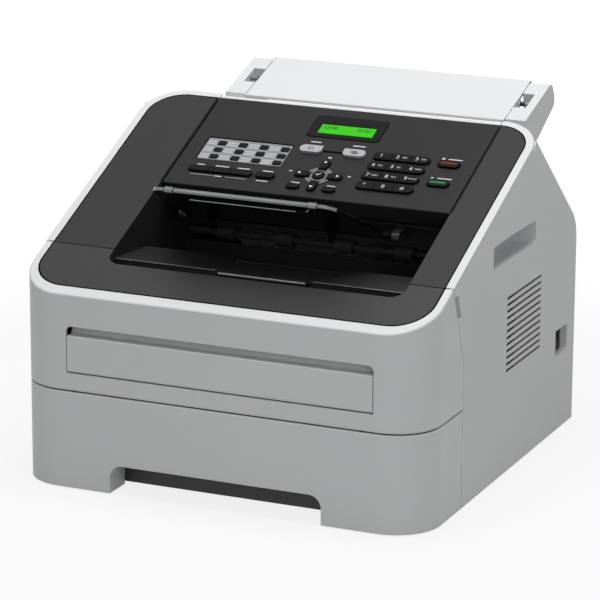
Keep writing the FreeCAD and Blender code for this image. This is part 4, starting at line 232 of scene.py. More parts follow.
def backlit_display(name, colour, strength, pixel_mm):
    """Green backlight behind a liquid-crystal cell, with a faint pixel grid."""
    material, tree, shader = new_material(name)
    place = add_node(tree, "ShaderNodeTexCoord")
    grid = add_node(tree, "ShaderNodeTexBrick", {"Vector": place.outputs["Object"]},
                    {"Scale": 1 / (pixel_mm * MM), "Mortar Size": GRID_WIDTH,
                     "Brick Width": 1.0, "Row Height": 1.0},
                    offset=0.0)
    grid.inputs["Color1"].default_value = linear(colour)
    grid.inputs["Color2"].default_value = linear(colour)
    grid.inputs["Mortar"].default_value = tinted(colour, GRID_SHADE)
    tree.links.new(grid.outputs["Color"], shader.inputs["Emission Color"])
    shader.inputs["Base Color"].default_value = linear(CELL_DARK)
    shader.inputs["Emission Strength"].default_value = strength
    shader.inputs["Roughness"].default_value = CELL_ROUGHNESS
    shader.inputs["Specular IOR Level"].default_value = CELL_SHINE
    return material


LCD_GREEN = backlit_display("green backlit liquid crystal", "#38d600", 0.92, 1.0)
MODULE_GLASS = moulded_plastic("display module glass, unlit edge", "#22301d", 0.2, 3.0, 0.01)
print("materials in all:", len(bpy.data.materials))

# %% [markdown]
# ## A finish for every solid
# Each solid already sits in its place, so it only needs its material. The list goes from
# the outside in: covers, dark top, keys, then the works.

# %% Dress the solids
FINISHES = {
    LIGHT_ABS: ["front_cover", "manual_feed_cover", "tray_front", "left_side_cover", "right_side_cover",
                "rear_cover", "back_cover", "panel_edge", "document_flap", "document_ears"],
    CHARCOAL_ABS: ["control_panel"],
    COVER_ABS_PAINTED_LIGHT: ["top_cover", "paper_stop"],
    TRIM_ABS_PAINTED_SHEEN: ["front_trim"],
    GLOSS_BLACK: ["output_support", "output_extension"],
    BLACK_ABS: ["paper_tray", "width_guide_left", "width_guide_right", "length_guide",
                "document_guide", "power_switch", "power_inlet", "line_jacks", "toner_cartridge",
                "laser_unit", "fuser_frame", "base_frame"],
    DRUM_PLASTIC: ["drum_unit"],
    KEY_BLACK: ["number_keys_1_2_3", "number_keys_4_5_6", "number_keys_7_8_9", "number_keys_star_0_hash",
                "up_key", "down_key", "left_key", "right_key", "ok_key", "stop_key", "start_key",
                "clear_and_menu_keys", "function_keys", "one_touch_keys"],
    SILVER_KEY: ["fax_mode_key", "copy_mode_key"],
    SMOKED: ["display_window", "scan_bar"],
    MODULE_GLASS: ["display"],
    RUBBER: ["feet", "pickup_roller", "eject_roller", "document_roller"],
    SILICONE: ["pressure_roller"],
    ALUMINIUM: ["heat_roller", "power_supply"],
    STEEL: ["hinge_pins"],
    ZINC: ["pressure_plate", "drive_motor"],
    BOARD: ["key_board", "main_board"],
}
dressed = []
for material, names in FINISHES.items():
    for name in names:
        NODES[name].material_slots[0].material = material
        dressed.append(name)
print("dressed:", len(dressed), "left over:", sorted(set(NODES) - set(dressed)))

# %% [markdown]
# ## Outlines
# Thin pieces are drawn as outlines with holes, filled and given thickness. These functions
# give the points of the outlines that come back: a plain box, a box with round corners, an
# arc and a circle. All of them count in millimetres.


# %% Points of an outline
def box_loop(x0, x1, y0, y1):
    """Corners of a rectangle."""
    return [(x0, y0), (x1, y0), (x1, y1), (x0, y1)]


def arc(cx, cy, radius, start, end, steps=12):
    """Points along an arc, with its angles in degrees."""
    angles = [math.radians(start + (end - start) * i / steps) for i in range(steps + 1)]
    return [(cx + radius * math.cos(a), cy + radius * math.sin(a)) for a in angles]


def rounded(x0, x1, y0, y1, radius, steps=5):
    """Points of a rectangle with round corners."""
    points = []
    corners = ((x1 - radius, y1 - radius, 0), (x0 + radius, y1 - radius, 90),
               (x0 + radius, y0 + radius, 180), (x1 - radius, y0 + radius, 270))
    for cx, cy, start in corners:
        points += arc(cx, cy, radius, start, start + 90, steps)
    return points


def circle(cx, cy, radius, count=24):
    """Points round a circle."""
    return arc(cx, cy, radius, 0, 360, count)[:count]


print("a circle has", len(circle(0, 0, 1)), "points")

# %% [markdown]
# ## From outline to piece
# The keys and their legends lie on a plane that rises to the back. Drawing them flat, as
# x, distance up the slope and height above it, is simple, and one matrix then lays them
# on the machine. A second matrix turns a section so that it is swept along the width.

# %% Plates, text and pieces
SLOPE_ANGLE = math.radians(23.53)
SLOPE_FOOT = Vector((0, -180, 168.6)) * MM
ON_SLOPE = Matrix.Translation(SLOPE_FOOT) @ Matrix.Rotation(SLOPE_ANGLE, 4, "X")
ALONG_X = Matrix(((0, 0, 1, 0), (1, 0, 0, 0), (0, 1, 0, 0), (0, 0, 0, 1)))
KEY_TOP = 2.0
SKIN = 0.12


def add_plate(shape, loops, low, high):
    """Adds to a bmesh a flat plate with an outline and holes, from low to high, in millimetres."""
    edges = []
    for loop in loops:
        corners = [shape.verts.new((x * MM, y * MM, low * MM)) for x, y in loop]
        for index, corner in enumerate(corners):
            edges.append(shape.edges.new((corner, corners[(index + 1) % len(corners)])))
    filled = bmesh.ops.triangle_fill(shape, use_beauty=True, edges=edges)
    faces = [item for item in filled["geom"] if isinstance(item, bmesh.types.BMFace)]
    raised = bmesh.ops.extrude_face_region(shape, geom=faces)
    tops = [item for item in raised["geom"] if isinstance(item, bmesh.types.BMVert)]
    bmesh.ops.translate(shape, verts=tops, vec=(0, 0, (high - low) * MM))


def add_text(shape, text, size, x, y, low, high):
    """Adds to a bmesh a line of text, centred on x and y, in millimetres."""
    curve = bpy.data.curves.new("text", "FONT")
    curve.body = text
    curve.size = size * MM
    curve.align_x = "CENTER"
    curve.align_y = "CENTER"
    curve.extrude = (high - low) / 2 * MM
    holder = bpy.data.objects.new("text", curve)
    letters = bpy.data.meshes.new_from_object(holder)
    letters.transform(Matrix.Translation(Vector((x, y, (low + high) / 2)) * MM))
    shape.from_mesh(letters)
    bpy.data.objects.remove(holder)
    bpy.data.meshes.remove(letters)


def finish_piece(shape, name, place, material, body):
    """Turns a bmesh into a piece that lies at a place, has a material and rides on a body."""
    bmesh.ops.recalc_face_normals(shape, faces=shape.faces)
    mesh = bpy.data.meshes.new(name)
    shape.to_mesh(mesh)
    shape.free()
    mesh.transform(place)
    mesh.materials.append(material)
    piece = bpy.data.objects.new(name, mesh)
    bpy.context.scene.collection.objects.link(piece)
    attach(piece, body)


def plate_piece(name, plates, place, material, body):
    """Makes a piece of one or more plates, each given as its loops, its low and its high side."""
    shape = bmesh.new()
    for loops, low, high in plates:
        add_plate(shape, loops, low, high)
    finish_piece(shape, name, place, material, body)


print("slope rises", round(math.degrees(SLOPE_ANGLE), 2), "degrees")

# %% [markdown]
# ## Display
# Behind the smoked window lies the green display. The window has a shallow recess over
# it, so a thin lit sheet fills that recess, and plain dark digits stand on the sheet.

# %% Lit display with digits
LCD_LEFT, LCD_RIGHT, LCD_LOW, LCD_HIGH, LCD_CORNER = -10.2, 40.8, 252.5, 266.3, 0.4
LCD_FLOOR = -0.4
LCD_TOP = LCD_FLOOR + SKIN
DIGIT_SIZE, DIGIT_S = 6.2, 261.6
lit_area = rounded(LCD_LEFT, LCD_RIGHT, LCD_LOW, LCD_HIGH, LCD_CORNER)
plate_piece("display_sheet", [([lit_area], LCD_FLOOR, LCD_TOP)], ON_SLOPE, LCD_GREEN,
            "control_panel")
digits = bmesh.new()
for text, x in (("12:00", -1.0), ("01/01", 31.0)):
    add_text(digits, text, DIGIT_SIZE, x, DIGIT_S, LCD_TOP, LCD_TOP + SKIN)
finish_piece(digits, "display_digits", ON_SLOPE, LCD_INK, "control_panel")
print("display:", LCD_RIGHT - LCD_LEFT, "by", round(LCD_HIGH - LCD_LOW, 1), "mm")

# %% [markdown]
# ## Number keys
# Twelve keys stand in four bars of three. Each carries a digit near its left end and, as
# on any telephone, a small group of letters beside it. The legends of one bar are one
# piece, because they move with that bar.

# %% Legends of the number keys
NUMBER_LEFT, NUMBER_PITCH, NUMBER_TOP, ROW_PITCH = 52.2, 17.27, 227.5, 14.0
NUMBER_SIZE, LETTER_SIZE = 6.0, 2.6
DIGIT_BESIDE_LETTERS, DIGIT_ALONE, LETTERS_IN = 5.4, 7.5, 11.6
ROWS = {
    "number_keys_1_2_3": (("1", ""), ("2", "ABC"), ("3", "DEF")),
    "number_keys_4_5_6": (("4", "GHI"), ("5", "JKL"), ("6", "MNO")),
    "number_keys_7_8_9": (("7", "PQRS"), ("8", "TUV"), ("9", "WXYZ")),
    "number_keys_star_0_hash": (("*", ""), ("0", ""), ("#", "")),
}
for row, (body, legends) in enumerate(ROWS.items()):
    ink = bmesh.new()
    for column, (digit, letters) in enumerate(legends):
        left = NUMBER_LEFT + column * NUMBER_PITCH
        level = NUMBER_TOP - row * ROW_PITCH
        digit_x = left + (DIGIT_BESIDE_LETTERS if letters else DIGIT_ALONE)
        add_text(ink, digit, NUMBER_SIZE, digit_x, level, KEY_TOP, KEY_TOP + SKIN)
        if letters:
            add_text(ink, letters, LETTER_SIZE, left + LETTERS_IN, level, KEY_TOP, KEY_TOP + SKIN)
    finish_piece(ink, "legend_" + body, ON_SLOPE, WHITE_INK, body)
print("number rows:", len(ROWS))

# %% [markdown]
# ## Arrow keys, ring and bars
# A grey ring surrounds the middle key, and the arrow keys reach over its edge, so the
# ring is cut away round them. Arrows, a tick, and the coloured bars on the stop and start
# keys are thin prints on the key tops.

# %% Ring round the middle key
NAV_X, NAV_S = 15.2, 192.7
RING_IN, RING_WAIST, RING_OUT, RING_HIGH, KEY_CLEAR = 5.75, 7.85, 11.7, 0.5, 4.25
wide = math.degrees(math.asin(KEY_CLEAR / RING_OUT))
waist = math.degrees(math.asin(KEY_CLEAR / RING_WAIST))
outline = []
for turn in (0, 90, 180, 270):
    outline += arc(NAV_X, NAV_S, RING_WAIST, waist + turn, waist + turn, 1)[:1]
    outline += arc(NAV_X, NAV_S, RING_OUT, wide + turn, 90 - wide + turn, 10)
    outline += arc(NAV_X, NAV_S, RING_WAIST, 90 - waist + turn, 90 + waist + turn, 8)[:8]
plate_piece("navigation_ring", [([outline, circle(NAV_X, NAV_S, RING_IN, 48)], 0.0, RING_HIGH)],
            ON_SLOPE, RING_GREY, "control_panel")
print("ring points:", len(outline))

# %% Arrows, tick and bars
ARROW, ARROW_BACK, ARROW_REACH = 1.7, 0.6, 17.6
TICK = ((-2.2, 0.2), (-0.6, -1.8), (2.4, 1.6), (1.8, 2.1), (-0.6, -0.7), (-1.7, 0.8))
BAR_X, BAR_HALF, BAR_HIGH, BAR_CORNER = 121.3, 7.2, 1.5, 1.0
for body, dx, ds in (("up_key", 0, 1), ("down_key", 0, -1), ("left_key", -1, 0), ("right_key", 1, 0)):
    x, s = NAV_X + dx * ARROW_REACH, NAV_S + ds * ARROW_REACH
    base_x, base_s = x - dx * ARROW * ARROW_BACK, s - ds * ARROW * ARROW_BACK
    arrow = [(x + dx * ARROW, s + ds * ARROW), (base_x + ds * ARROW, base_s + dx * ARROW),
             (base_x - ds * ARROW, base_s - dx * ARROW)]
    plate_piece("arrow_" + body, [([arrow], KEY_TOP, KEY_TOP + SKIN)], ON_SLOPE, WHITE_INK,
                body)
tick = [(NAV_X + dx, NAV_S + ds) for dx, ds in TICK]
plate_piece("tick_ok_key", [([tick], KEY_TOP, KEY_TOP + SKIN)], ON_SLOPE, WHITE_INK,
            "ok_key")
for body, level, ink in (("stop_key", 226.5, RED_INK), ("start_key", 199.0, GREEN_INK)):
    bar = rounded(BAR_X - BAR_HALF, BAR_X + BAR_HALF, level - BAR_HIGH, level + BAR_HIGH, BAR_CORNER)
    plate_piece("bar_" + body, [([bar], KEY_TOP, KEY_TOP + SKIN)], ON_SLOPE, ink, body)
print("arrows and bars done")

# %% [markdown]
# ## One-touch keys and their label sheet
# Twelve small keys poke through a sheet of silver film. Paper strips for names show
# between them. The sheet is a grid of cells with the key cells left out, and a dark line of painted
# shadow along its upper and left edges stands for the recess that it lies in.

# %% Label sheet
PLATE_LEFT, PLATE_RIGHT, PLATE_LOW, PLATE_HIGH = -102.0, -23.2, 199.6, 229.7
PLATE_CORNER, FILM_HIGH = 1.2, 0.3
TOUCH_X, TOUCH_S, TOUCH_PITCH_X, TOUCH_PITCH_S = -87.5, 203.8, 19.83, 9.8
TOUCH_WIDE, TOUCH_TALL, TOUCH_CORNER = 4.05, 3.05, 1.45
cells = [(TOUCH_X + column * TOUCH_PITCH_X, TOUCH_S + row * TOUCH_PITCH_S)
         for row in range(3) for column in range(4)]
film = [rounded(PLATE_LEFT, PLATE_RIGHT, PLATE_LOW, PLATE_HIGH, PLATE_CORNER, 3)]
for x, s in cells:
    film.append(rounded(x - TOUCH_WIDE, x + TOUCH_WIDE, s - TOUCH_TALL, s + TOUCH_TALL, TOUCH_CORNER, 3))
plate_piece("one_touch_label_sheet", [(film, 0.0, FILM_HIGH)], ON_SLOPE, SILVER_FILM,
            "control_panel")
print("one-touch cells:", len(cells))

# %% Painted recess shadow and name strips
FRAME_LEFT, FRAME_RIGHT, FRAME_LOW, FRAME_HIGH = 1.5, 0.3, 0.2, 2.3
FRAME_CORNER, FRAME_GAP = 1.5, 0.02
NAME_MARGIN, NAME_SIDE, NAME_NEAR, NAME_FAR = 1.0, 0.8, 0.5, 2.9
recess = [rounded(PLATE_LEFT - FRAME_LEFT, PLATE_RIGHT + FRAME_RIGHT,
                  PLATE_LOW - FRAME_LOW, PLATE_HIGH + FRAME_HIGH, FRAME_CORNER, 3),
          rounded(PLATE_LEFT - FRAME_GAP, PLATE_RIGHT + FRAME_GAP,
                  PLATE_LOW - FRAME_GAP, PLATE_HIGH + FRAME_GAP, PLATE_CORNER, 3)]
plate_piece("one_touch_recess_shadow", [(recess, 0.0, SKIN)], ON_SLOPE, PAINTED_SHADOW_BLACK,
            "control_panel")
strips = []
for x, s in cells:
    left = max(PLATE_LEFT + NAME_MARGIN, x - TOUCH_PITCH_X + TOUCH_WIDE + NAME_SIDE)
    right = x - TOUCH_WIDE - NAME_SIDE
    for low, high in ((s + NAME_NEAR, s + NAME_FAR), (s - NAME_FAR, s - NAME_NEAR)):
        strips.append(([box_loop(left, right, low, high)], FILM_HIGH, FILM_HIGH + SKIN))
plate_piece("one_touch_name_strips", strips, ON_SLOPE, PALE_FILM, "control_panel")
print("name strips:", len(strips))

# %% [markdown]
# ## Printed marks round the keys
# Plain marks say what the keys do: a short pale bar over each key, a square and a triangle
# for stop and start, and thin brackets under the function keys. Each is a thin plate of
# ink on the panel, so it keeps a crisp edge at any distance.

# %% Marks on the panel
FUNCTION_S, BRACKET_S, CORNER_S, MODE_MARK_S, SIDE_S = 191.6, 177.6, 180.6, 239.2, 196.0
STOP_S, START_S, ACTION_X, SIGN_X = 234.2, 206.8, 124.5, 112.6
MODE_S, FAX_X, COPY_X = 227.5, -5.5, 34.7
SIDE_REACH, ABOVE_S, MARK_ROUND = 27, 219.2, 0.45
SIGN_HALF, TRIANGLE_LONG = 1.2, 2.6
GROOVE_SHADOW = (14.8, MODE_S, 19.0, 2.5)
# Each bar is its middle, its width and its height.
BARS = (
    (-94.2, FUNCTION_S, 7, 1.1), (-74.0, FUNCTION_S, 13, 1.1), (-53.8, FUNCTION_S, 12, 1.1),
    (-31.3, FUNCTION_S, 10, 1.1), (-1.5, CORNER_S, 8, 1.1), (31.4, CORNER_S, 8, 1.1),
    (FAX_X, MODE_MARK_S, 10, 1.2), (COPY_X, MODE_MARK_S, 12, 1.2),
    (-88.0, BRACKET_S, 22, 0.35), (-56.0, BRACKET_S, 20, 0.35),
    (-72.5, BRACKET_S, 7, 1.1), (-31.3, BRACKET_S, 11, 1.1), (NAV_X, ABOVE_S, 3.2, 1.6),
    (NAV_X - SIDE_REACH, SIDE_S, 3.0, 1.2), (NAV_X + SIDE_REACH, SIDE_S, 3.0, 1.2),
    (ACTION_X, STOP_S, 13, 1.2), (ACTION_X, START_S, 13, 1.2),
)


def mark_bar(x, s, width, height):
    """Outline of a printed bar with round ends."""
    return rounded(x - width / 2, x + width / 2, s - height / 2, s + height / 2, height * MARK_ROUND, 2)


square = box_loop(SIGN_X, SIGN_X + 2 * SIGN_HALF, STOP_S - SIGN_HALF, STOP_S + SIGN_HALF)
triangle = [(SIGN_X, START_S - SIGN_HALF), (SIGN_X + TRIANGLE_LONG, START_S), (SIGN_X, START_S + SIGN_HALF)]
marks = [mark_bar(*bar) for bar in BARS] + [square, triangle]
plate_piece("panel_marks", [([mark], 0.0, SKIN) for mark in marks], ON_SLOPE, WHITE_INK,
            "control_panel")
# Painted shadow: a black bar stands for the shade in the groove between the mode keys.
plate_piece("mode_key_groove_shadow", [([mark_bar(*GROOVE_SHADOW)], 0.0, SKIN)], ON_SLOPE, PAINTED_SHADOW_BLACK,
            "control_panel")
print("marks printed:", len(marks))

# %% [markdown]
# ## Caps and pages of the mode keys
# Each mode key is round at its outer end and straight at the end that faces its partner. A
# cap with that outline sits on the key, high enough to stay clear of the panel when pressed.
# A page is printed on one cap, and a pair of pages on the other.

# %% Caps of the mode keys
MODE_HALF, MODE_HIGH, MODE_CUT, MODE_BREAK = 10.25, 4.75, 2.6, 0.4
CAP_LOW, CAP_TOP = KEY_TOP - 0.85, KEY_TOP + 0.06
PAGE_HALF, PAGE_HIGH, PAGE_LINE, PAGE_CORNER, PAGE_INNER_CORNER = 2.4, 1.5, 0.5, 0.3, 0.2
cap_outline = arc(MODE_HIGH - MODE_HALF, 0, MODE_HIGH, 90, 270)
cap_outline += [(MODE_HALF - MODE_CUT, -MODE_HIGH), (MODE_HALF, MODE_CUT - MODE_HIGH),
                (MODE_HALF, MODE_HIGH - MODE_BREAK), (MODE_HALF - MODE_BREAK, MODE_HIGH)]
for body, x, hand, pages in (("fax_mode_key", FAX_X, 1, ((0, 0),)),
                             ("copy_mode_key", COPY_X, -1, ((-0.8, 0.5), (0.8, -0.5)))):
    cap = [(x + hand * dx, MODE_S + ds) for dx, ds in cap_outline]
    plate_piece("cap_" + body, [([cap], CAP_LOW, CAP_TOP)], ON_SLOPE, SILVER_KEY, body)
    sheets = []
    for dx, ds in pages:
        loops = []
        for inset, corner in ((0, PAGE_CORNER), (PAGE_LINE, PAGE_INNER_CORNER)):
            half, high = PAGE_HALF - inset, PAGE_HIGH - inset
            loops.append(rounded(x + dx - half, x + dx + half, MODE_S + ds - high, MODE_S + ds + high,
                                 corner, 2))
        sheets.append((loops, CAP_TOP, CAP_TOP + SKIN))
    plate_piece("page_" + body, sheets, ON_SLOPE, KEY_BLACK, body)
print("mode key caps: 2")

# %% [markdown]
# ## Shadow gap round the dark top
# The dark mouldings drop into the pale rim with a narrow gap, which reads as a black line.
# Thin bands of painted shadow draw it: one on the front cover, which opens, one round each strip,
# and one where each strip meets the control panel.

# %% Bands of painted shadow in the gap
GAP_SIDE, GAP_FRONT, GAP_BACK, GAP_WIDTH, BAND_HIGH = 177.1, 10.9, 289.1, 1.2, 0.05
FRONT_ROUND, REAR_ROUND, FRONT_SEAM, REAR_SEAM = 33.0, 30.0, 65.0, 66.0
STRIP_LEFT_END, STRIP_RIGHT_END = -119.9, 146.3
PANEL_LOW, PANEL_GAP = 163.0, 0.8


def front_edge(inset):
    """Edge of the front trim, from seam to seam, moved inwards."""
    side, front, radius = GAP_SIDE - inset, GAP_FRONT + inset, FRONT_ROUND - inset
    return ([(-side, FRONT_SEAM)] + arc(radius - side, front + radius, radius, 180, 270)
            + arc(side - radius, front + radius, radius, 270, 360) + [(side, FRONT_SEAM)])


def strip_edge(inset, end, hand):
    """Outer edge of the strip on one hand, from the seam to its end at the back."""
    side, back, radius = GAP_SIDE - inset, GAP_BACK - inset, REAR_ROUND - inset
    corner = arc(side - radius, back - radius, radius, 0, 90)
    points = [(side, REAR_SEAM)] + corner + [(hand * end, back)]
    return [(hand * x, y) for x, y in points]


def strip_band(end, hand):
    """Closed outline of the band along a strip's outer edge."""
    return strip_edge(0, end, hand) + strip_edge(GAP_WIDTH, end, hand)[::-1]


bands = {
    "front_rim_gap_shadow": ("front_cover", front_edge(0) + front_edge(GAP_WIDTH)[::-1]),
    "right_rim_gap_shadow": ("chassis", strip_band(STRIP_RIGHT_END, 1)),
    "left_rim_gap_shadow": ("chassis", strip_band(STRIP_LEFT_END, -1)),
    "left_panel_gap_shadow": ("chassis", box_loop(STRIP_LEFT_END - PANEL_GAP, STRIP_LEFT_END,
                                           PANEL_LOW, GAP_BACK)),
    "right_panel_gap_shadow": ("chassis", box_loop(STRIP_RIGHT_END, STRIP_RIGHT_END + PANEL_GAP,
                                            PANEL_LOW, GAP_BACK)),
}
for name, (body, loop) in bands.items():
    plate_piece(name, [([loop], 0.0, BAND_HIGH)], ON_SLOPE, PAINTED_SHADOW_BLACK, body)
print("bands:", list(bands))

# %% [markdown]
# ## Bright edges in the output well
# The leaf in the floor of the well, the floor itself and the document support end in polished,
# rounded edges that catch the light. Slim beads and bands in a light grey, a painted highlight, drawn
# as a section and swept along each edge, give them that line. Each rides on the piece whose edge it is.

# %% Beads of painted highlight on the paper stop and the floor
STOP_SPAN, STOP_BEAD_Y, STOP_BEAD_Z, STOP_BEAD = (-21.6, 56.6), -123.8, 185.6, 1.35
FLOOR_EDGE_Y, FLOOR_EDGE_Z, FLOOR_BEAD = -119.5, 186.65, 0.3
FLOOR_SPANS = ((-119.2, -26.6), (61.6, 145.6))
stop_bead = circle(STOP_BEAD_Y, STOP_BEAD_Z, STOP_BEAD)
floor_bead = circle(FLOOR_EDGE_Y, FLOOR_EDGE_Z, FLOOR_BEAD)
plate_piece("paper_stop_highlight", [([stop_bead], *STOP_SPAN)], ALONG_X, PAINTED_HIGHLIGHT_AND_SHADE_GREY,
            "paper_stop")
plate_piece("well_floor_highlight", [([floor_bead], *span) for span in FLOOR_SPANS], ALONG_X, PAINTED_HIGHLIGHT_AND_SHADE_GREY,
            "chassis")
print("bead:", round(STOP_SPAN[1] - STOP_SPAN[0], 1), "mm long")

# %% Bands of painted highlight on the document support
SUPPORT_PIVOT = Vector((0, -30, 207)) * MM
ON_SUPPORT = Matrix.Translation(SUPPORT_PIVOT) @ Matrix.Rotation(math.radians(155), 4, "X")
ACROSS_SUPPORT = ON_SUPPORT @ ALONG_X
CORNER_X, CORNER_Y, CORNER_ROUND, CORNER_FROM, CORNER_TO = 70.33, 98.0, 12.0, 95, 20
HINGE_LINE, BARREL, BARREL_SPAN = 107.8, 2.2, (-59.8, 59.8)
EAR, EAR_SPANS = 2.85, ((60.7, 67.8), (-67.8, -60.7))
BAND_FROM, BAND_TO, BAND_LIFT, BAND_THICK, BAND_HALF = -30, 48, 0.02, 0.12, 1.1


def round_band(cx, cy, radius, start, end):
    """Section of a thin band that lies on a round edge, from one angle to another."""
    inner, outer = radius + BAND_LIFT, radius + BAND_LIFT + BAND_THICK
    return arc(cx, cy, inner, start, end) + arc(cx, cy, outer, end, start)


barrel_band = round_band(HINGE_LINE, 0, BARREL, BAND_FROM, BAND_TO)
ear_band = round_band(HINGE_LINE, 0, EAR, BAND_FROM, BAND_TO)
corner_band = round_band(CORNER_X, CORNER_Y, CORNER_ROUND, CORNER_FROM, CORNER_TO)
corner_bands = [([[(hand * x, y) for x, y in corner_band]], -BAND_HALF, BAND_HALF) for hand in (-1, 1)]
plate_piece("output_extension_highlight", [([barrel_band], *BARREL_SPAN)], ACROSS_SUPPORT, PAINTED_HIGHLIGHT_AND_SHADE_GREY,
            "output_extension")
plate_piece("output_support_ear_highlight", [([ear_band], *span) for span in EAR_SPANS], ACROSS_SUPPORT,
            PAINTED_HIGHLIGHT_AND_SHADE_GREY, "output_support")
plate_piece("output_support_corner_highlight", corner_bands, ON_SUPPORT, PAINTED_HIGHLIGHT_AND_SHADE_GREY,
            "output_support")
print("support bands: 3")

# %% [markdown]
# ## Lip under the extension
# A narrow lip hangs under the hinge of the extension, in shadow but for its lower edge. Only
# that line shows, so a strip in painted shadow with a slim bead of painted highlight along its foot is
# enough.

# %% Lip in painted shadow and its bead of painted highlight
LIP_SPAN, LIP_BACK, LIP_FRONT, LIP_TOP, LIP_DROP, LIP_BEAD = (-45.0, 50.0), 106.4, 107.6, 1.7, 6.0, 0.45
lip = box_loop(LIP_BACK, LIP_FRONT, LIP_TOP, LIP_DROP)
lip_bead = circle(LIP_FRONT - LIP_BEAD / 2, LIP_DROP, LIP_BEAD)
plate_piece("output_extension_lip", [([lip], *LIP_SPAN)], ACROSS_SUPPORT, PAINTED_SHADOW_BLACK,
            "output_extension")
plate_piece("output_extension_lip_highlight", [([lip_bead], *LIP_SPAN)], ACROSS_SUPPORT, PAINTED_HIGHLIGHT_AND_SHADE_GREY,
            "output_extension")
print("lip:", LIP_SPAN[1] - LIP_SPAN[0], "mm")

# %% [markdown]
# ## Document flap: gaps and pins
# The flap swings between two ears on short pins. The gap at each end reads as a fine dark
# line, so a slim strip of painted shadow lies in it on the ear. A bush and a sleeve on each pin show in
# its notch, and the sleeve's grey is painted shade.

# %% Painted shadow strips in the gaps, and bushes of the flap
FLAP_FRONT = Vector((0, 92.6, 287.15)) * MM
ACROSS_FLAP = Matrix.Translation(FLAP_FRONT) @ Matrix.Rotation(math.radians(18), 4, "X") @ ALONG_X
FLAP_GAPS = {"flap_gap_shadow_left": (-97.5, -97.06), "flap_gap_shadow_right": (145.66, 146.1)}
STRIP_SPANS = ((1.0, 22.5), (47.0, 69.4))
STRIP_LOW, STRIP_TOP = -1.0, -0.1
PIN_ALONG, PIN_DEEP, BUSH_RADIUS = 37.5, -5.0, 2.15
BUSHES = {
    "flap_bush_left": (-101.5, -97.6, BLACK_ABS),
    "flap_bush_right": (146.7, 151.6, BLACK_ABS),
    "flap_sleeve_shade_left": (-108.4, -101.5, PAINTED_HIGHLIGHT_AND_SHADE_GREY),
    "flap_sleeve_shade_right": (151.6, 157.0, PAINTED_HIGHLIGHT_AND_SHADE_GREY),
}
for name, (near, far) in FLAP_GAPS.items():
    strips = [([box_loop(start, end, STRIP_LOW, STRIP_TOP)], near, far) for start, end in STRIP_SPANS]
    plate_piece(name, strips, ACROSS_FLAP, PAINTED_SHADOW_BLACK, "chassis")
for name, (near, far, material) in BUSHES.items():
    section = circle(PIN_ALONG, PIN_DEEP, BUSH_RADIUS)
    plate_piece(name, [([section], near, far)], ACROSS_FLAP, material, "document_flap")
print("flap strips and bushes:", len(FLAP_GAPS) + len(BUSHES))

# %% [markdown]
# ## Walls behind the front cover
# Beside the paper tray, the frame carries a wall and a floor of sheet plastic, so that no
# daylight shows through the seams. Opened, the front cover shows them beside the drum.

# %% Inner walls
WALL_NEAR, WALL_FAR, WALL_Y, WALL_TOP, SHEET = 131.05, 176.5, -88.0, 180.0, 1.2
LEDGE_FRONT, LEDGE_LOW = -145.0, 4.0
LEDGE_TOP = LEDGE_LOW + SHEET
wall = [(WALL_Y, LEDGE_LOW), (WALL_Y, WALL_TOP), (WALL_Y - SHEET, WALL_TOP), (WALL_Y - SHEET, LEDGE_TOP),
        (LEDGE_FRONT, LEDGE_TOP), (LEDGE_FRONT, LEDGE_LOW)]
for name, near, far in (("inner_wall_left", -WALL_FAR, -WALL_NEAR),
                        ("inner_wall_right", WALL_NEAR, WALL_FAR)):
    plate_piece(name, [([wall], near, far)], ALONG_X, BLACK_ABS, "chassis")
print("inner walls: 2")

# %% [markdown]
# ## Depth of the louvres
# Each louvre slot slants down to the outside, so no light comes from within. A leaf of painted shade
# on the inner part of every slot's lower face leaves a pale lip at its mouth, as a deep slot would.
# The front end of a slot is the darkest, so the painted shade comes in three lengths that grow paler.

# %% Leaves of painted shade in the louvres
SIDE_FACE, LOUVRE_COUNT, LOUVRE_FIRST, LOUVRE_PITCH = 184.0, 12, 90.13, 5.75
LOUVRE_RISE, LOUVRE_LIP, LEAF_DEEP, LEAF_LIFT = 5.2 / 7.5, 0.35, 3.0, 0.02
LEAVES = {
    "louvre_shade_front": (6.7, 18.0, DEEP_SHADE),
    "louvre_shade_middle": (18.0, 27.0, HALF_SHADE),
    "louvre_shade_back": (27.0, 90.3, OPEN_SHADE),
}
SIDEWAYS = Matrix.Rotation(math.pi / 2, 4, "X")
LEAF_OUT, LEAF_IN = SIDE_FACE - LOUVRE_LIP, SIDE_FACE - LOUVRE_LIP - LEAF_DEEP
for name, (start, end, material) in LEAVES.items():
    leaves = []
    for index in range(LOUVRE_COUNT):
        mouth = LOUVRE_FIRST + index * LOUVRE_PITCH + LEAF_LIFT
        near, far = mouth + LOUVRE_LIP * LOUVRE_RISE, mouth + (LOUVRE_LIP + LEAF_DEEP) * LOUVRE_RISE
        leaf = [(LEAF_OUT, near), (LEAF_OUT, near + SKIN), (LEAF_IN, far + SKIN), (LEAF_IN, far)]
        leaves.append(([leaf], -end, -start))
    plate_piece(name, leaves, SIDEWAYS, material, "chassis")
print("louvre slots:", LOUVRE_COUNT)

# %% [markdown]
# ## Collar of the power switch
# The rocker sits in a black collar at the floor of its recess: a plate with a hole as
# large as the opening that the rocker swings in.

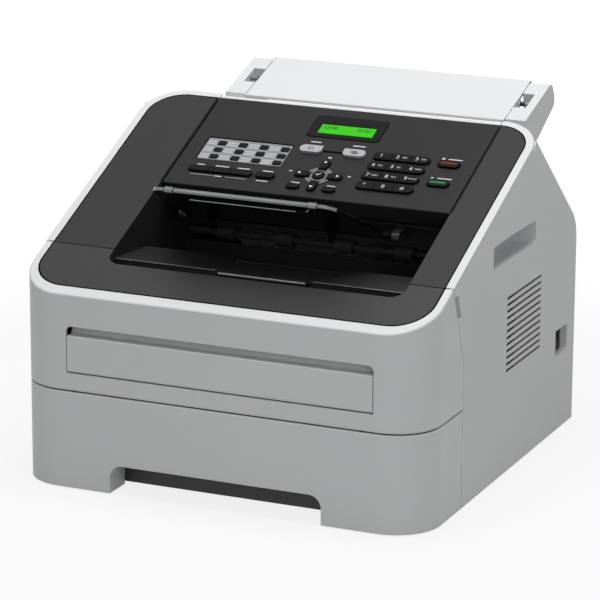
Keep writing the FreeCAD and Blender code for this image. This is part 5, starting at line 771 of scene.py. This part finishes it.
# %% Switch collar
COLLAR_LOW, COLLAR_HIGH, COLLAR_CORNER, HOLE_CORNER = 175.0, 177.6, 1.8, 0.1
COLLAR_BOX, ROCKER_BOX = (131.2, 160.8, 70.2, 93.4), (135.0, 157.0, 72.0, 91.6)
collar = [rounded(*COLLAR_BOX, COLLAR_CORNER), rounded(*ROCKER_BOX, HOLE_CORNER, 1)]
plate_piece("switch_frame", [(collar, COLLAR_LOW, COLLAR_HIGH)], ALONG_X, BLACK_ABS,
            "chassis")
print("switch collar:", round(COLLAR_HIGH - COLLAR_LOW, 1), "mm thick")

# %% [markdown]
# ## Screws at the back
# Covers like these are held by cross-head screws from behind. Each head is a disc with a
# cross sunk into it, set into the slope of the rear cover.

# %% Cross-head screws
HEAD_RADIUS, LONG, WIDE = 3.6, 2.1, 0.55
HEAD_TOP, CROSS_FLOOR, HEAD_BASE, BASE_SHARE, HEAD_POINTS = 0.3, -0.6, -1.0, 0.9, 28
BACK_FACE, BACK_SLOPE_FOOT, BACK_SLOPE = 180.0, 182.7, math.radians(40.4)
SCREW_X, SCREW_Y = 165.0, 140.0
CROSS = [(WIDE, WIDE), (WIDE, LONG), (-WIDE, LONG), (-WIDE, WIDE), (-LONG, WIDE), (-LONG, -WIDE),
         (-WIDE, -WIDE), (-WIDE, -LONG), (WIDE, -LONG), (WIDE, -WIDE), (LONG, -WIDE), (LONG, WIDE)]
screw_z = BACK_SLOPE_FOOT + (BACK_FACE - SCREW_Y) * math.tan(BACK_SLOPE)
head = [([circle(0, 0, HEAD_RADIUS, HEAD_POINTS), CROSS], CROSS_FLOOR, HEAD_TOP),
        ([circle(0, 0, HEAD_RADIUS * BASE_SHARE, HEAD_POINTS)], HEAD_BASE, CROSS_FLOOR)]
for name, x in (("rear_screw_left", -SCREW_X), ("rear_screw_right", SCREW_X)):
    place = Matrix.Translation(Vector((x, SCREW_Y, screw_z)) * MM) @ Matrix.Rotation(-BACK_SLOPE, 4, "X")
    plate_piece(name, head, place, ZINC, "chassis")
print("screws: 2")

# %% [markdown]
# ## Camera
# A long lens from the front right, a little above: its place and angles were solved from
# the corners of the body, so the picture frames the machine as the photograph does.

# %% Camera
AZIMUTH, ELEVATION, ROLL = math.radians(23.714), math.radians(15.627), math.radians(0.302)
FOCAL_PIXELS, IMAGE_PIXELS, SENSOR = 3307.6, 600, 36.0
CAMERA_PLACE = Vector((1.09643, -2.50243, 0.89821))
FARTHEST = 50
back = Vector((math.sin(AZIMUTH) * math.cos(ELEVATION), -math.cos(AZIMUTH) * math.cos(ELEVATION),
               math.sin(ELEVATION)))
right = Vector((math.cos(AZIMUTH), math.sin(AZIMUTH), 0))
up = back.cross(right)
rolled_right = right * math.cos(ROLL) + up * math.sin(ROLL)
rolled_up = up * math.cos(ROLL) - right * math.sin(ROLL)
lens = bpy.data.cameras.new("camera")
lens.sensor_width = SENSOR
lens.lens = SENSOR * FOCAL_PIXELS / IMAGE_PIXELS
lens.clip_end = FARTHEST
camera = bpy.data.objects.new("camera", lens)
turn = Matrix((rolled_right, rolled_up, back)).transposed().to_4x4()
camera.matrix_world = Matrix.Translation(CAMERA_PLACE) @ turn
bpy.context.scene.collection.objects.link(camera)
bpy.context.scene.camera = camera
print("lens:", round(lens.lens, 1), "mm")

# %% [markdown]
# ## Floor
# The machine stands on a pale sweep of paper. Seen straight, in a reflection or through glass
# the paper glows white, a little less near the machine, so that its shadow shows. To all other
# rays it is plain grey paper, so its glow doesn't light the machine from below.

# %% Floor
FLOOR_HALF = 30.0
FLOOR_GREY, FLOOR_ROUGHNESS, FLOOR_GLOW = "#b4b4b4", 0.9, 1.15
NEAR, FAR, NEAR_SHARE = 0.45, 1.1, 0.72
WHITE = (1, 1, 1, 1)


def seen_directly(tree):
    """Output that is 1 for rays that the eye follows: straight, mirrored or through glass."""
    rays = add_node(tree, "ShaderNodeLightPath")
    onward = add_node(tree, "ShaderNodeMath",
                      {0: rays.outputs["Is Glossy Ray"], 1: rays.outputs["Is Transmission Ray"]},
                      operation="MAXIMUM")
    seen = add_node(tree, "ShaderNodeMath", {0: rays.outputs["Is Camera Ray"], 1: onward.outputs[0]},
                    operation="MAXIMUM")
    return seen.outputs[0]


floor_mesh = bpy.data.meshes.new("floor")
floor_corners = box_loop(-FLOOR_HALF, FLOOR_HALF, -FLOOR_HALF, FLOOR_HALF)
floor_mesh.from_pydata([(x, y, 0) for x, y in floor_corners], [], [(0, 1, 2, 3)])
floor = bpy.data.objects.new("floor", floor_mesh)
bpy.context.scene.collection.objects.link(floor)
paper, tree, sheet_shader = new_material("white paper sweep")
sheet_shader.inputs["Base Color"].default_value = linear(FLOOR_GREY)
sheet_shader.inputs["Roughness"].default_value = FLOOR_ROUGHNESS
glow = add_node(tree, "ShaderNodeEmission", None, {"Color": WHITE, "Strength": FLOOR_GLOW})
spot = add_node(tree, "ShaderNodeTexCoord")
away = add_node(tree, "ShaderNodeVectorMath", {0: spot.outputs["Object"]}, operation="LENGTH")
fade = add_node(tree, "ShaderNodeMapRange", {"Value": away.outputs["Value"]},
                {"From Min": NEAR, "From Max": FAR, "To Min": NEAR_SHARE, "To Max": 1.0})
share = add_node(tree, "ShaderNodeMath", {0: seen_directly(tree), 1: fade.outputs[0]},
                 operation="MULTIPLY")
blend = add_node(tree, "ShaderNodeMixShader",
                 {0: share.outputs[0], 1: sheet_shader.outputs[0], 2: glow.outputs[0]})
tree.links.new(blend.outputs[0], tree.nodes["Material Output"].inputs["Surface"])
floor_mesh.materials.append(paper)
print("floor laid")

# %% [markdown]
# ## Surround
# Such a picture is taken in front of white paper. A world that is white to every ray would
# wash out the dark panel, so it is white only to the rays that the eye follows, and faint to
# the rays that light the machine.

# %% White surround
SKY_LIGHT, SKY_SEEN = 0.24, 1.0
world = bpy.data.worlds.new("studio")
bpy.context.scene.world = world
world.use_nodes = True
tree = world.node_tree
tree.nodes.clear()
soft = add_node(tree, "ShaderNodeBackground", None, {"Color": WHITE, "Strength": SKY_LIGHT})
white = add_node(tree, "ShaderNodeBackground", None, {"Color": WHITE, "Strength": SKY_SEEN})
both = add_node(tree, "ShaderNodeMixShader",
                {0: seen_directly(tree), 1: soft.outputs[0], 2: white.outputs[0]})
add_node(tree, "ShaderNodeOutputWorld", {"Surface": both.outputs[0]})
print("surround set")

# %% [markdown]
# ## Lamps
# One broad lamp overhead shades the machine softly from the top down. Three weaker ones from
# the front open up the shadows and draw bright lines along the edges. Area lamps suit this,
# because their size sets how soft each shadow is.

# %% Area lamps
CENTRE = Vector((0, 0, 0.15))
# Each lamp is its place in metres, the side of its square and its power in watts.
LAMPS = {
    "overhead lamp": ((0.1, -0.05, 1.9), 1.2, 25),
    "front right lamp": ((0.95, -1.3, 0.7), 0.4, 3.0),
    "front fill lamp": ((0.3, -1.7, 1.7), 0.8, 0.5),
    "edge lamp": ((-0.77, -1.19, 1.71), 0.42, 3.0),
}
for name, (place, size, power) in LAMPS.items():
    light = bpy.data.lights.new(name, "AREA")
    light.shape = "RECTANGLE"
    light.size = size
    light.size_y = size
    light.energy = power
    lamp = bpy.data.objects.new(name, light)
    lamp.location = place
    lamp.rotation_euler = (CENTRE - Vector(place)).to_track_quat("-Z", "Y").to_euler()
    bpy.context.scene.collection.objects.link(lamp)
bpy.context.scene.view_settings.view_transform = "Standard"
print("lamps set:", len(LAMPS))
